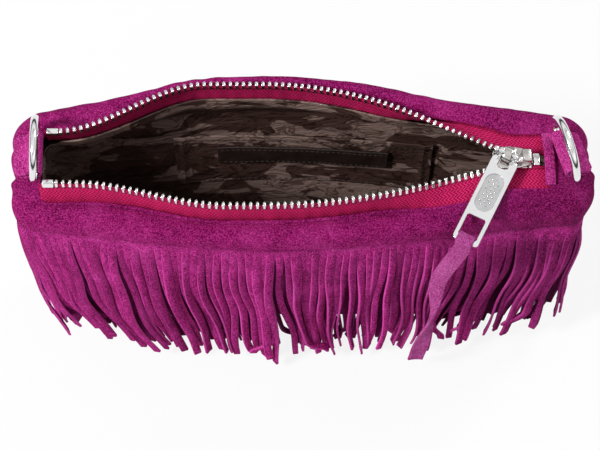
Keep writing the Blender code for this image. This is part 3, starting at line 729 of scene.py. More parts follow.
def lining_look():
    """Printed nylon lining: leafy dark blotches on taupe, fine creases and a slight sheen."""
    made, tree, shader = shader_of("printed_nylon")
    where = object_coordinates(tree)
    stretch = tree.nodes.new("ShaderNodeMapping")
    stretch.inputs["Scale"].default_value = (0.60, 1.0, 1.30)
    stretch.inputs["Rotation"].default_value = (0.0, 0.40, 0.0)
    tree.links.new(where, stretch.inputs["Vector"])
    print_grid = stretch.outputs["Vector"]
    blotches = ramp_node(tree, noise_node(tree, print_grid, BLOTCH_SCALE, 2.5, 0.5, 1.2), [
        (0.0, (0.270, 0.187, 0.161)),
        (0.50, (0.235, 0.158, 0.137)),
        (0.515, (0.060, 0.031, 0.025)),
        (1.0, (0.044, 0.023, 0.019)),
    ])
    leaves = ramp_node(tree, noise_node(tree, print_grid, LEAF_SCALE, 2.0, 0.5, 1.8), [
        (0.0, (1.0, 1.0, 1.0)),
        (0.54, (1.0, 1.0, 1.0)),
        (0.555, (0.40, 0.35, 0.33)),
        (0.61, (0.48, 0.43, 0.41)),
        (0.64, (0.90, 0.88, 0.86)),
    ])
    creases = noise_node(tree, print_grid, 90.0, 3.0, 0.6, 1.2)
    sharp = calc(tree, "ABSOLUTE", calc(tree, "SUBTRACT", creases, 0.5))
    soft = bump_node(tree, sharp, 0.8, 0.0030)
    dress(tree, shader, {
        "Base Color": mix_colour(tree, 1.0, blotches, leaves, "MULTIPLY"),
        "Roughness": 0.38,
        "Specular IOR Level": 0.55,
        "Normal": bump_node(tree, noise_node(tree, where, 2600.0, 1.0), 0.15, 0.0001, soft),
    })
    return made


def leather_look():
    """Smooth near-black leather with a fine pebbled grain."""
    made, tree, shader = shader_of("dark_leather")
    where = object_coordinates(tree)
    grain = tree.nodes.new("ShaderNodeTexVoronoi")
    dress(tree, grain, {"Vector": where, "Scale": 1400.0})
    cloud = noise_node(tree, where, 160.0)
    dress(tree, shader, {
        "Base Color": ramp_node(tree, cloud, [(0.3, (0.010, 0.005, 0.004)), (0.7, (0.026, 0.013, 0.010))]),
        "Roughness": 0.46,
        "Normal": bump_node(tree, grain.outputs["Distance"], 0.4, 0.0002),
    })
    return made


def metal_look(name, colour, low, high):
    """Polished plated metal with faint rubbing marks. Low and high are the limits of its roughness."""
    made, tree, shader = shader_of(name)
    where = object_coordinates(tree)
    smear = noise_node(tree, where, 260.0, 3.0, 0.6, 0.5)
    dress(tree, shader, {
        "Base Color": ramp_node(tree, smear, [(0.2, tuple(c * 0.90 for c in colour)), (0.8, colour)]),
        "Roughness": grey_ramp(tree, smear, [(0.3, low), (0.75, high)]),
        "Metallic": 1.0,
        "Normal": bump_node(tree, noise_node(tree, where, 90.0, 2.0), 0.08, 0.0006),
    })
    return made


def thread_look(name, colour):
    """Sewing thread with a twisted ply."""
    made, tree, shader = shader_of(name)
    ply = noise_node(tree, object_coordinates(tree), 2200.0, 2.0)
    dress(tree, shader, {
        "Base Color": ramp_node(tree, ply, [(0.3, tuple(c * 0.6 for c in colour)), (0.7, colour)]),
        "Roughness": 0.6,
        "Normal": bump_node(tree, ply, 0.4, 0.0001),
    })
    return made


SUEDE_LOOK = suede_look("napped_suede", (0.095, 0.001, 0.035), (0.285, 0.005, 0.118), (0.580, 0.048, 0.305))
STRAND_LOOK = suede_look("fringe_suede", (0.125, 0.003, 0.052), (0.420, 0.012, 0.188), (0.820, 0.085, 0.470))
STRAP_LOOK = suede_look("brushed_suede", (0.260, 0.020, 0.140), (0.440, 0.062, 0.275), (0.660, 0.170, 0.470))
TAB_LOOK = suede_look("tab_suede", (0.200, 0.007, 0.086), (0.500, 0.024, 0.235), (0.800, 0.120, 0.490))
TAPE_LOOK = tape_look()
LINING_LOOK = lining_look()
LABEL_LOOK = leather_look()
SILVER_LOOK = metal_look("polished_nickel", (0.86, 0.86, 0.87), 0.06, 0.20)
SLIDER_LOOK = metal_look("cast_nickel", (0.62, 0.60, 0.58), 0.14, 0.28)
RECESS_LOOK = metal_look("etched_nickel", (0.58, 0.58, 0.59), 0.26, 0.40)
TEETH_LOOK = metal_look("plated_teeth", (0.88, 0.87, 0.86), 0.14, 0.30)
DARK_THREAD = thread_look("brown_thread", (0.040, 0.028, 0.024))


# Suede body

FRONT_FOLD = 0.0009
BACK_FOLD = 0.0022
BROAD_FOLDS = (22.0, 22.0, 16.0)
FINE_FOLDS = (48.0, 48.0, 30.0)
PUCKER = 0.0006
PUCKER_FOLDS = (150.0, 0.0, 25.0)
SEAM_DIP = 0.0009
SEAM_SPREAD = 0.05
SEAM_RELIEF = 0.0035
FRONT_UNDER_YOKE = 0.72
YOKE_SEAM = RIM_HEIGHT - FRINGE_DROP - YOKE_OVERLAP
YOKE_FOLD = 0.0009
YOKE_BROAD_FOLDS = (26.0, 26.0, 20.0)
YOKE_FINE_FOLDS = (70.0, 50.0, 44.0)
YOKE_PUCKER = 0.0004
YOKE_PUCKER_FOLDS = (170.0, 0.0, 30.0)
YOKE_ROLL = 0.0008
YOKE_DIP = 0.0011


def tuck(point):
    """Draw the lower ends and front in, as the soft body and its fringe hang there."""
    x, y, z = point
    reach = abs(x) - TUCK_FROM
    if reach > 0.0:
        share = ease(y, 0.010, -0.010) * ease(z, 0.130, 0.108)
        x = math.copysign(TUCK_FROM + reach * lerp(1.0, TUCK_KEEP, share), x)
    depth = -y - FRONT_TUCK_FROM
    if depth > 0.0:
        y = -FRONT_TUCK_FROM - depth * lerp(1.0, FRONT_TUCK_KEEP, ease(z, 0.121, 0.111))
    return Vector((x, y, z))


def suede_point(angle, share):
    """Outer face of the suede with soft folds and a sewn dip at the side seams."""
    point = wall(angle, share)
    step = 0.004
    side = wall(angle + step, share) - wall(angle - step, share)
    rise = wall(angle, min(share + step, 1.0)) - wall(angle, max(share - step, 0.0))
    normal = side.cross(rise).normalized()
    back = 1.0 if point.y > 0.0 else 0.0
    reach = lerp(FRONT_FOLD, BACK_FOLD, back * ease(point.z, 0.115, 0.055))
    fold = 0.5 * rough_at(point, BROAD_FOLDS, 3.0) + 0.5 * rough_at(point, FINE_FOLDS, 8.0)
    offset = reach * (fold - 0.8 * (1.0 - back))
    offset += PUCKER * rough_at(point, PUCKER_FOLDS, 13.0) * ease(share, 0.62, 0.92)
    seams = (SEAM_ANGLE, math.pi - SEAM_ANGLE, math.pi + SEAM_ANGLE, -SEAM_ANGLE)
    from_seam = min(abs(math.remainder(angle - seam, 2.0 * math.pi)) for seam in seams)
    offset -= SEAM_DIP * math.exp(-(from_seam / SEAM_SPREAD) ** 2)
    offset += BACK_LIP_RISE * back * ease(share, 0.70, 0.84) * ease(abs(point.x), 0.085, 0.035)
    offset *= ease(share, 1.0, 0.90) * ease(share, 0.0, 0.03)
    return tuck(point + normal * offset)


def yoke_lift(angle, v):
    """How far the yoke stands off the body: over the fringe's sewn edge, easing into the shoulder."""
    over_fringe = 2.0 * (GAP + FRINGE_SUEDE) + 2.0 * GAP + SUEDE
    start = ease(angle, FRINGE_FROM - YOKE_END_RUN, FRINGE_FROM)
    end = ease(angle, FRINGE_TO + YOKE_END_RUN, FRINGE_TO)
    return lerp(GAP, over_fringe, ease(v, 0.84, 0.34) * min(start, end))


def yoke_point(angle, v):
    """Outer face of the yoke from its sewn lower edge, v 0, to the turned edge at the mouth, v 1."""
    widest = RIM_HEIGHT - WIDEST_DROP
    if v < YOKE_FLAT:
        height = lerp(YOKE_SEAM, widest + 0.006, v / YOKE_FLAT)
        step = clamp((height - widest) / 0.040)
    else:
        step = lerp(0.15, 1.0, (v - YOKE_FLAT) / (1.0 - YOKE_FLAT))
    here = shoulder(angle, step)
    _, out = outward(shoulder(angle - 0.01, step), shoulder(angle + 0.01, step))
    fold = 0.5 * rough_at(here, YOKE_BROAD_FOLDS, 41.0) + 0.5 * rough_at(here, YOKE_FINE_FOLDS, 47.0)
    wave = YOKE_FOLD * fold + YOKE_PUCKER * rough_at(here, YOKE_PUCKER_FOLDS, 53.0)
    wave *= ease(v, 1.0, 0.88)
    rolled = YOKE_ROLL * math.exp(-(v / 0.05) ** 2)
    dip = YOKE_DIP * rough_at(here, (18.0, 0.0, 0.0), 59.0) * ease(v, 0.3, 0.0)
    rise = Vector((0.0, 0.0, GAP * (1.0 - v) + dip))
    return tuck(here + out * (yoke_lift(angle, v) + wave - rolled) + rise)


def suede_body():
    """Front, back and gusset panels of suede, the yoke over the fringe, the base and the rolled rim."""
    half_turn = math.pi
    spans = (
        ("back_panel", SEAM_ANGLE, half_turn - SEAM_ANGLE, 240, 1.0),
        ("left_gusset", half_turn - SEAM_ANGLE, half_turn + SEAM_ANGLE, 26, 1.0),
        ("front_panel", half_turn + SEAM_ANGLE, 2.0 * half_turn - SEAM_ANGLE, 220, FRONT_UNDER_YOKE),
        ("right_gusset", 2.0 * half_turn - SEAM_ANGLE, 2.0 * half_turn + SEAM_ANGLE, 26, 1.0),
    )
    for name, start, end, columns, top in spans:
        def point(u, v, start=start, end=end, top=top):
            return suede_point(lerp(start + SEAM_RELIEF, end - SEAM_RELIEF, u), v * top)
        made = grid(f"{name}_suede", point, columns, 60, (0.25, 0.13), SUEDE_LOOK)
        thicken(made, SUEDE, soften=0.0004)
        settle(made, "bag", (name,), BODY_KEEP)

    def yoke(u, v):
        return yoke_point(lerp(FRINGE_FROM - YOKE_END_RUN, FRINGE_TO + YOKE_END_RUN, u), v)
    made = grid("front_yoke", yoke, 300, 40, (0.27, 0.03), SUEDE_LOOK)
    thicken(made, SUEDE, soften=0.0005)
    # Painted shade on the yoke, growing towards its right end
    shade(made, "painted_shade_and_tone", lambda spot: YOKE_RIGHT_PAINTED_SHADE * ease(spot.x, 0.020, 0.080))
    settle(made, "bag", (), BODY_KEEP)

    lift = TAPE / 2.0 + EDGE_EASE + GAP + SUEDE * 0.55
    steps = 420
    edge = [mouth_edge(2.0 * math.pi * n / steps, lift) for n in range(steps)]
    rim = tube("rolled_rim", edge, SUEDE * 0.62, SUEDE_LOOK, True, 3)
    settle(rim, "bag", (), BODY_KEEP)

    base = new_object("base_suede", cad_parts["base_panel"].data.copy(), SUEDE_LOOK)
    settle(base, "bag", ("base_panel",), BODY_KEEP)


# Lining, pocket and label

LINING_INSET = SUEDE + GAP + LINING_EASE
LINING_DROP = -(TAPE / 2.0 + GAP + LINING_EASE)
LINING_FLOOR = 0.12
LINING_WALL = 0.80
LINING_TURN = 0.93
FLOOR_FOLD = 0.0016
LONG_CREASE = 0.0020
SMALL_CREASE = 0.0007
POCKET_STACK = SUEDE + GAP + LINING_EASE + LINING + GAP + POCKET_EASE
POCKET_SEAM = 0.035
THREAD_LIFT = 0.00005
THREAD_FACING = Vector((0.0, -1.0, 0.15))


def lining_rows(angle, share):
    """Outer face of the lining from its bottom edge, share 0, up to its edge on the tape, share 1."""
    foot = 2.0 * SUEDE + 3.0 * GAP
    top = RIM_HEIGHT - TAPE_WIDTH - 2.0 * SUEDE - WIDEST_DROP / 2.0
    if share < LINING_WALL:
        return outline(angle, lerp(foot, top, share / LINING_WALL), -LINING_INSET)
    edges = []
    for across in (TAPE_WIDTH + 2.0 * GAP, LINING_SHOWN_FROM):
        side = 1.0 if math.sin(angle) >= 0.0 else -1.0
        edge = mouth_edge(angle, LINING_DROP, across - tape_shown(mouth_edge(angle, LINING_DROP).x, side))
        if abs(edge.x) > abs(TAPE_LEFT) - LINING_END_RUN:
            edge.z = min(edge.z, RIM_HEIGHT - max(across, LINING_END_DROP))
        edges.append(edge)
    if share < LINING_TURN:
        return outline(angle, top, -LINING_INSET).lerp(edges[0], ease(share, LINING_WALL, LINING_TURN))
    return edges[0].lerp(edges[1], (share - LINING_TURN) / (1.0 - LINING_TURN))


def lining_point(u, v):
    """Lining's face: its floor, then its wall with creases, which lies flat behind the pocket."""
    angle = 2.0 * math.pi * u
    if v < LINING_FLOOR:
        edge = lining_rows(angle, 0.0)
        here = Vector((edge.x * v / LINING_FLOOR, edge.y * v / LINING_FLOOR, edge.z))
        here.z += FLOOR_FOLD * (0.5 + 0.5 * rough_at(here, (40.0, 40.0, 0.0), 5.0)) * smooth(1.2 - v / 0.1)
        return here
    share = (v - LINING_FLOOR) / (1.0 - LINING_FLOOR)
    point = lining_rows(angle, share)
    inward = Vector((-point.x * 0.25, -point.y, 0.0)).normalized()
    slanted = Vector((point.x * 26.0 + point.z * 30.0, point.y * 20.0, point.z * 34.0))
    fold = LONG_CREASE * abs(rough(*slanted, 11.0))
    fold += SMALL_CREASE * (0.5 + 0.5 * rough_at(point, (75.0, 60.0, 90.0), 17.0))
    fold *= ease(share, 0.0, 0.08) * ease(share, 0.99, 0.87)
    if point.y > 0.0 and abs(point.x - POCKET_X) < POCKET_WIDTH / 2.0 + 0.004:
        fold *= ease(point.z, POCKET_TOP - 0.002, POCKET_TOP + 0.004)
    return tuck(point + inward * fold)


def pocket_point(u, v, lift=0.0):
    """Face of the slip pocket from its foot, v 0, to its hem, with sewn sides and a slight gape."""
    x = POCKET_X + (0.5 - u) * POCKET_WIDTH
    height = lerp(POCKET_BOTTOM, POCKET_TOP, v)
    behind = outline(angle_of(x, height, -POCKET_STACK), height, -POCKET_STACK)
    gape = POCKET_GAPE * math.sin(math.pi * u) * smooth(v)
    wave = 0.0005 * rough(x * 90.0, 0.0, height * 90.0, 23.0) * math.sin(math.pi * u)
    ridges = sum(math.exp(-((u - seam) / 0.010) ** 2) for seam in (POCKET_SEAM, 1.0 - POCKET_SEAM))
    hem = 0.0006 * ease(v, 0.90, 0.92)
    return behind - Vector((0.0, gape + wave + 0.0007 * ridges + hem + lift, 0.0))


def label_point(u, v, lift=0.0):
    """Face of the label patch, which follows the pocket and is slightly crowned."""
    pocket_height = POCKET_TOP - POCKET_BOTTOM
    half = LABEL_WIDTH / 2.0 / POCKET_WIDTH
    top = (pocket_height - LABEL_BELOW_HEM) / pocket_height
    low = top - LABEL_HEIGHT / pocket_height
    crown = 0.0003 * math.sin(math.pi * clamp(v)) ** 0.5
    across, up = lerp(0.5 - half, 0.5 + half, u), lerp(low, top, v)
    return pocket_point(across, up, LINING + GAP + POCKET_EASE / 2.0 + crown + lift)


def lining_bag():
    """Creased nylon lining, its slip pocket with sewn edges, and the bare label patch."""
    made = grid("lining_bag", lining_point, 300, 110, (0.5, 0.19), LINING_LOOK)
    thicken(weld(made), LINING)
    settle(made, "bag", ("lining",), LINING_KEEP)

    size = (POCKET_WIDTH, POCKET_TOP - POCKET_BOTTOM)
    piece = grid("pocket_panel", pocket_point, 160, 60, size, LINING_LOOK)
    thicken(piece, LINING, soften=0.0002)
    settle(piece, "bag", ("slip_pocket",), LINING_KEEP)
    on_pocket = LINING + THREAD_LIFT
    rows = {
        "pocket_hem_thread": [pocket_point(n / 120, 0.885, on_pocket) for n in range(3, 118)],
        "pocket_left_thread": [pocket_point(1.0 - POCKET_SEAM, n / 40, on_pocket) for n in range(1, 40)],
        "pocket_right_thread": [pocket_point(POCKET_SEAM, n / 40, on_pocket) for n in range(1, 40)],
        "pocket_foot_thread": [pocket_point(n / 120, 0.04, on_pocket) for n in range(3, 118)],
    }
    for name, path in rows.items():
        thread = stitches(name, path, THREAD_FACING, 0.0021, 0.0005, 0.0007, DARK_THREAD)
        settle(thread, "bag", (), LINING_KEEP)

    patch = grid("leather_label", label_point, 90, 14, (LABEL_WIDTH, LABEL_HEIGHT), LABEL_LOOK)
    thicken(patch, LABEL_THICK, soften=0.0004)
    settle(patch, "bag", ("label_patch",), LINING_KEEP)
    u_in, v_in = 0.015, 0.12
    corners = [(u_in, v_in), (1.0 - u_in, v_in), (1.0 - u_in, 1.0 - v_in), (u_in, 1.0 - v_in)]
    path = []
    for (u0, v0), (u1, v1) in zip(corners, corners[1:] + corners[:1]):
        steps = 60 if u0 != u1 else 8
        for n in range(steps):
            u, v = lerp(u0, u1, n / steps), lerp(v0, v1, n / steps)
            path.append(label_point(u, v, LABEL_THICK + THREAD_LIFT))
    path.append(path[0].copy())
    thread = stitches("label_thread", path, THREAD_FACING, 0.0019, 0.00042, 0.0006, DARK_THREAD)
    settle(thread, "bag", (), LINING_KEEP)


# Zip

NIB_RADIUS = 0.00045
CORD_RADIUS = 0.00085
FORK_TOP = 0.0026
RECESS_FROM = 0.0105
RECESS_HALF_WIDTH = 0.0042
STUD_ROWS = 9
STUD_RADIUS = 0.00048
STRAP_STRETCH = 1.10


def chain_stations(side, steps=1400):
    """X of every tooth's middle, evenly spaced along the chain."""
    xs = [lerp(CHAIN_LEFT, CHAIN_RIGHT, n / steps) for n in range(steps + 1)]
    run = running_length([tape_point(x, 0.0, 0.0, side) for x in xs])
    teeth = int(round(run[-1] / TOOTH_PITCH))
    pitch = (run[-1] - TOOTH_WIDTH) / (teeth - 1)
    found = []
    for n in range(teeth):
        index, share = locate(run, TOOTH_WIDTH / 2.0 + n * pitch)
        found.append(lerp(xs[index], xs[index + 1], share))
    return found


def tooth_shape():
    """One metal tooth: two legs clamped on the cord and a rounded head with a small nib."""
    bm = bmesh.new()
    bmesh.ops.create_cube(bm, size=1.0)
    bmesh.ops.subdivide_edges(bm, edges=list(bm.edges), cuts=3, use_grid_fill=True)
    for vert in bm.verts:
        x, y, z = vert.co
        head = ease(y, -0.05, -0.40)
        waist = 1.0 - 0.22 * math.exp(-((y + 0.02) / 0.16) ** 2)
        vert.co = Vector((
            x * TOOTH_WIDTH * waist * lerp(1.0, 0.94, head),
            y * TOOTH_REACH * 1.08,
            z * TOOTH_THICK * lerp(1.12, 0.92, head) * waist,
        ))
    every_way = {"use_axis_x": True, "use_axis_y": True, "use_axis_z": True}
    for _ in range(2):
        bmesh.ops.smooth_vert(bm, verts=bm.verts, factor=0.5, **every_way)
    nib = bmesh.ops.create_uvsphere(bm, u_segments=8, v_segments=6, radius=NIB_RADIUS)
    bmesh.ops.translate(bm, verts=nib["verts"], vec=Vector((0.0, -TOOTH_REACH * 0.34, TOOTH_THICK * 0.42)))
    mesh = bpy.data.meshes.new("tooth")
    bm.to_mesh(mesh)
    bm.free()
    return mesh


def zip_sides():
    """Tapes with a corded edge, rows of teeth and the top stops."""
    tooth = tooth_shape()
    middle = -GAP - TOOTH_REACH / 2.0
    for name, side in (("back", 1.0), ("front", -1.0)):
        def web(u, v, side=side):
            x = lerp(TAPE_LEFT, TAPE_RIGHT, u)
            ripple = 0.00018 * math.sin(x * 900.0) * v
            return tape_point(x, TAPE_WIDTH * v - 0.0004, ripple, side)
        woven = grid(f"{name}_tape_web", web, 320, 12, (0.235, TAPE_WIDTH), TAPE_LOOK)
        thicken(woven, TAPE, 0.0)
        path = [tape_point(lerp(TAPE_LEFT, TAPE_RIGHT, n / 260), -0.0007, 0.0, side) for n in range(261)]
        cord = tube(f"{name}_tape_cord", path, CORD_RADIUS, TAPE_LOOK, sides=3)
        tape = join(f"{name}_tape", [woven, cord])
        settle(tape, "bag", (f"{name}_zip_tape",), ZIP_KEEP)

        bm = bmesh.new()
        for x in chain_stations(side):
            spot = tape_point(x, middle, 0.0, side)
            along = (tape_point(x + 0.0005, middle, 0.0, side) - spot).normalized()
            out = (tape_point(x, TOOTH_REACH, 0.0, side) - tape_point(x, 0.0, 0.0, side)).normalized()
            up = along.cross(out).normalized()
            matrix = Matrix((along, up.cross(along).normalized(), up)).transposed().to_4x4()
            matrix.translation = spot
            copy = tooth.copy()
            copy.transform(matrix)
            bm.from_mesh(copy)
            bpy.data.meshes.remove(copy)
        row = from_bmesh(f"{name}_teeth", bm, TEETH_LOOK)
        settle(row, "bag", (f"{name}_zip_teeth",), ZIP_KEEP)

        size = (STOP_LENGTH, TOOTH_REACH * 1.05, TOOTH_THICK * 1.1)
        stop = block(f"{name}_stop", size, SILVER_LOOK, 0.0005)
        x = CHAIN_LEFT - GAP - STOP_LENGTH / 2.0
        turn = Matrix.Rotation(-side * tilt(x), 4, "X")
        place(stop, Matrix.Translation(tape_point(x, middle, 0.0, side)) @ turn)
        settle(stop, "bag", (f"{name}_top_stop",), ZIP_KEEP)


def slider_frame():
    """Levels of the slider's underside and top plate about the chain."""
    tip_rise = (TOOTH_REACH + GAP) * math.sin(FLAT_TILT)
    ceiling = RIM_HEIGHT + tip_rise + TOOTH_THICK / 2.0 + GAP
    floor = RIM_HEIGHT - TOOTH_THICK / 2.0 - TAPE - GAP
    return floor, ceiling


def slider_plate(name, middle):
    """Slider plate: wide at the open end, waisted and rounded at the closed end."""
    bm = bmesh.new()
    steps = 48
    ring = []
    for n in range(steps):
        angle = 2.0 * math.pi * n / steps
        x, y = (math.copysign(abs(part) ** 0.62, part) for part in (math.cos(angle), math.sin(angle)))
        taper = lerp(1.0, 0.80, ease(x, -0.2, 1.0))
        corner = (x * SLIDER_LENGTH / 2.0, y * SLIDER_WIDTH / 2.0 * taper, -SLIDER_PLATE / 2.0)
        ring.append(bm.verts.new(corner))
    raised = bmesh.ops.extrude_face_region(bm, geom=[bm.faces.new(ring)])
    lifted = [g for g in raised["geom"] if isinstance(g, bmesh.types.BMVert)]
    bmesh.ops.translate(bm, verts=lifted, vec=Vector((0.0, 0.0, SLIDER_PLATE)))
    bmesh.ops.recalc_face_normals(bm, faces=bm.faces)
    sharp = [e for e in bm.edges if e.calc_face_angle(0.0) > 1.0]
    bmesh.ops.bevel(bm, geom=sharp, offset=0.00045, segments=3, profile=0.5, affect="EDGES")
    return place(from_bmesh(name, bm, SLIDER_LOOK, METAL_CREASE), at(*middle))


def bridge_point(u, v):
    """Arched strip of the slider's bridge, sunk into the top plate at both ends."""
    sunk = SLIDER_PLATE / 2.0
    rise = math.sin(math.pi * u)
    x = -math.cos(math.pi * u) * (BRIDGE_SPAN - BRIDGE_THICK) / 2.0
    z = (BRIDGE_RISE - BRIDGE_THICK / 2.0 + sunk) * rise ** BRIDGE_SQUARENESS - sunk
    return Vector((x, (v - 0.5) * BRIDGE_WIDTH * (1.0 - 0.18 * rise), z))


def zip_slider():
    """Polished slider with two plates, flanges, post, bridge and raised end, and the bottom stop."""
    floor, ceiling = slider_frame()
    level = ceiling + SLIDER_PLATE
    sunk = 0.0004
    closed_end = MOUTH_CLOSE_X + SLIDER_LENGTH / 2.0
    pieces = [
        slider_plate("slider_top", (MOUTH_CLOSE_X, 0.0, ceiling + SLIDER_PLATE / 2.0)),
        slider_plate("slider_under", (MOUTH_CLOSE_X, 0.0, floor - SLIDER_PLATE / 2.0)),
    ]
    for n, side in enumerate((-1.0, 1.0)):
        lip = block(f"slider_lip_{n}", (SLIDER_LENGTH * 0.62, 0.0008, 0.0016), SILVER_LOOK, 0.0003)
        y = side * (SLIDER_WIDTH / 2.0 - 0.0011)
        pieces.append(place(lip, at(MOUTH_CLOSE_X + 0.0008, y, ceiling - sunk)))
    post = block("slider_post", (0.0030, 0.0018, ceiling - floor + SLIDER_PLATE), SILVER_LOOK, 0.0004)
    post_x = MOUTH_CLOSE_X - SLIDER_LENGTH / 2.0 + 0.0015
    pieces.append(place(post, at(post_x, 0.0, (ceiling + floor) / 2.0)))
    arch = grid("slider_bridge", bridge_point, 40, 6, (0.012, BRIDGE_WIDTH), SILVER_LOOK)
    thicken(arch, BRIDGE_THICK, 0.0, 0.0004)
    pieces.append(place(arch, at(PULL_X, 0.0, level) @ Matrix.Rotation(PULL_HEADING, 4, "Z")))
    hump = block("slider_hump", (HUMP_LENGTH, HUMP_WIDTH, HUMP_RISE), SLIDER_LOOK, 0.0009, 4)
    hump_x = closed_end - HUMP_LENGTH / 2.0 - sunk
    pieces.append(place(hump, at(hump_x, 0.0, level + HUMP_RISE / 2.0 - sunk)))
    settle(join("zip_slider", pieces, METAL_CREASE), "slider", ("slider_body",))

    size = (BOTTOM_STOP_LENGTH, 2.0 * TOOTH_REACH, TOOTH_THICK + BOTTOM_STOP_RISE)
    stop = block("bottom_stop_clamp", size, SILVER_LOOK, 0.0006)
    place(stop, at(closed_end + GAP + BOTTOM_STOP_LENGTH / 2.0, 0.0, RIM_HEIGHT + BOTTOM_STOP_RISE))
    settle(stop, "bag", ("bottom_stop",))


def pull_frame():
    """Frame of the pull: X along the pin, Y down the plate, Z into its lower face."""
    _, ceiling = slider_frame()
    level = ceiling + SLIDER_PLATE + BRIDGE_RISE - BRIDGE_THICK - PIN_RADIUS - PIN_PLAY
    pin = Vector((PULL_X, 0.0, level))
    down = Vector((
        math.cos(PULL_HEADING) * math.cos(PULL_DIP),
        math.sin(PULL_HEADING) * math.cos(PULL_DIP),
        -math.sin(PULL_DIP),
    ))
    along = Vector((-math.sin(PULL_HEADING), math.cos(PULL_HEADING), 0.0))
    rows = Matrix((along, down, along.cross(down))).transposed().to_4x4()
    return at(*pin) @ rows, pin, along, down


def rounded(x0, y0, x1, y1, radius, steps=6):
    """Points of a rectangle with rounded corners."""
    points = []
    for cx, cy, start in ((x1 - radius, y1 - radius, 0.0), (x0 + radius, y1 - radius, 0.5),
                          (x0 + radius, y0 + radius, 1.0), (x1 - radius, y0 + radius, 1.5)):
        for n in range(steps + 1):
            angle = math.pi * (start + 0.5 * n / steps)
            points.append((cx + radius * math.cos(angle), cy + radius * math.sin(angle)))
    return points


def flat_shape(name, outlines, thick, bevel, look):
    """Flat plate from closed outlines, the inner ones being holes, with rounded edges."""
    curve = bpy.data.curves.new(name, "CURVE")
    curve.dimensions = "2D"
    curve.fill_mode = "BOTH"
    curve.extrude = thick / 2.0 - bevel
    curve.bevel_depth = bevel
    curve.bevel_resolution = 2
    curve.offset = -bevel
    for points in outlines:
        add_line(curve, [(x, y, 0.0) for x, y in points], True)
    made = weld(from_curve(curve, look))
    made.data.set_sharp_from_angle(angle=math.radians(METAL_CREASE))
    return made


def carve(made, cutter):
    """Cut one object out of another."""
    cut = made.modifiers.new("cut", "BOOLEAN")
    cut.operation = "DIFFERENCE"
    cut.solver = "EXACT"
    cut.object = cutter
    apply_all(made)
    bpy.data.objects.remove(cutter, do_unlink=True)
    return made


def pull_pin(base, pin_length):
    """Pin with a ball at each end."""
    pieces = [rod("pull_bar", PIN_RADIUS, pin_length, SILVER_LOOK)]
    for n, end in enumerate((-1.0, 1.0)):
        tip = ball(f"pull_ball_{n}", BALL_RADIUS, SILVER_LOOK)
        pieces.append(place(tip, at(end * pin_length / 2.0, 0.0, 0.0)))
    settle(place(join("pull_crossbar", pieces), base), "pull", ("pull_pin",))


def pull_plate(base, lug, pin_length):
    """Plate with a forked eye, a window and a rounded recess of plain round studs."""
    half = PULL_WIDTH / 2.0
    notch = ((-lug, FORK_TOP - 0.001), (-lug, 0.0066), (-lug + 0.0012, 0.0075))
    notch += tuple((-x, y) for x, y in reversed(notch))
    window_top = PULL_LENGTH - PULL_BAR - WINDOW_LENGTH
    outer = rounded(-half, FORK_TOP, half, PULL_LENGTH, 0.0016)
    window = rounded(-WINDOW_WIDTH / 2.0, window_top, WINDOW_WIDTH / 2.0, PULL_LENGTH - PULL_BAR, 0.0008)
    plate = flat_shape("pull_tag", [outer, window], PULL_THICK, 0.00025, SILVER_LOOK)
    carve(plate, flat_shape("pull_slot", [notch], 0.01, 0.0001, SILVER_LOOK))

    top, low, wide = RECESS_FROM, window_top - 0.0030, RECESS_HALF_WIDTH
    level = RECESS_DEPTH - PULL_THICK / 2.0
    oval = rounded(-wide, top, wide, low, wide - 0.0001, 10)
    recess = flat_shape("pull_recess", [oval], 0.0008, 0.0001, SILVER_LOOK)
    carve(plate, place(recess, at(0.0, 0.0, level - 0.0004)))
    ease_in = 0.0001
    wide -= ease_in
    inlay = rounded(-wide, top + ease_in, wide, low - ease_in, wide - 0.0001, 10)
    bed = flat_shape("pull_recess_floor", [inlay], 0.0002, 0.00004, RECESS_LOOK)
    settle(place(bed, base @ at(0.0, 0.0, level - 0.00008)), "pull")
    studs = []
    for row in range(STUD_ROWS):
        y = lerp(top + 0.0030, low - 0.0030, row / (STUD_ROWS - 1))
        for n, x in enumerate((-0.0021, 0.0, 0.0021) if row % 2 else (-0.0011, 0.0011)):
            stud = ball(f"stud_{row}_{n}", STUD_RADIUS, SLIDER_LOOK)
            studs.append(place(stud, base @ at(x, y, level)))
    settle(join("pull_studs", studs), "pull")

    pieces = [plate]
    reach = pin_length / 2.0 - BALL_RADIUS - GAP - lug
    for n, end in enumerate((-1.0, 1.0)):
        x = end * (lug + reach / 2.0)
        knuckle = rod(f"knuckle_{n}", PIN_RADIUS + GAP + KNUCKLE_WALL, reach, SILVER_LOOK)
        arm = block(f"lug_{n}", (reach, 0.0042, PULL_THICK), SILVER_LOOK, 0.0002)
        pieces += [place(knuckle, at(x, 0.0, 0.0)), place(arm, at(x, 0.0028, 0.0))]
    tag = join("pull_tag_plate", pieces, 35.0)
    settle(place(tag, base), "pull", ("pull_plate",))


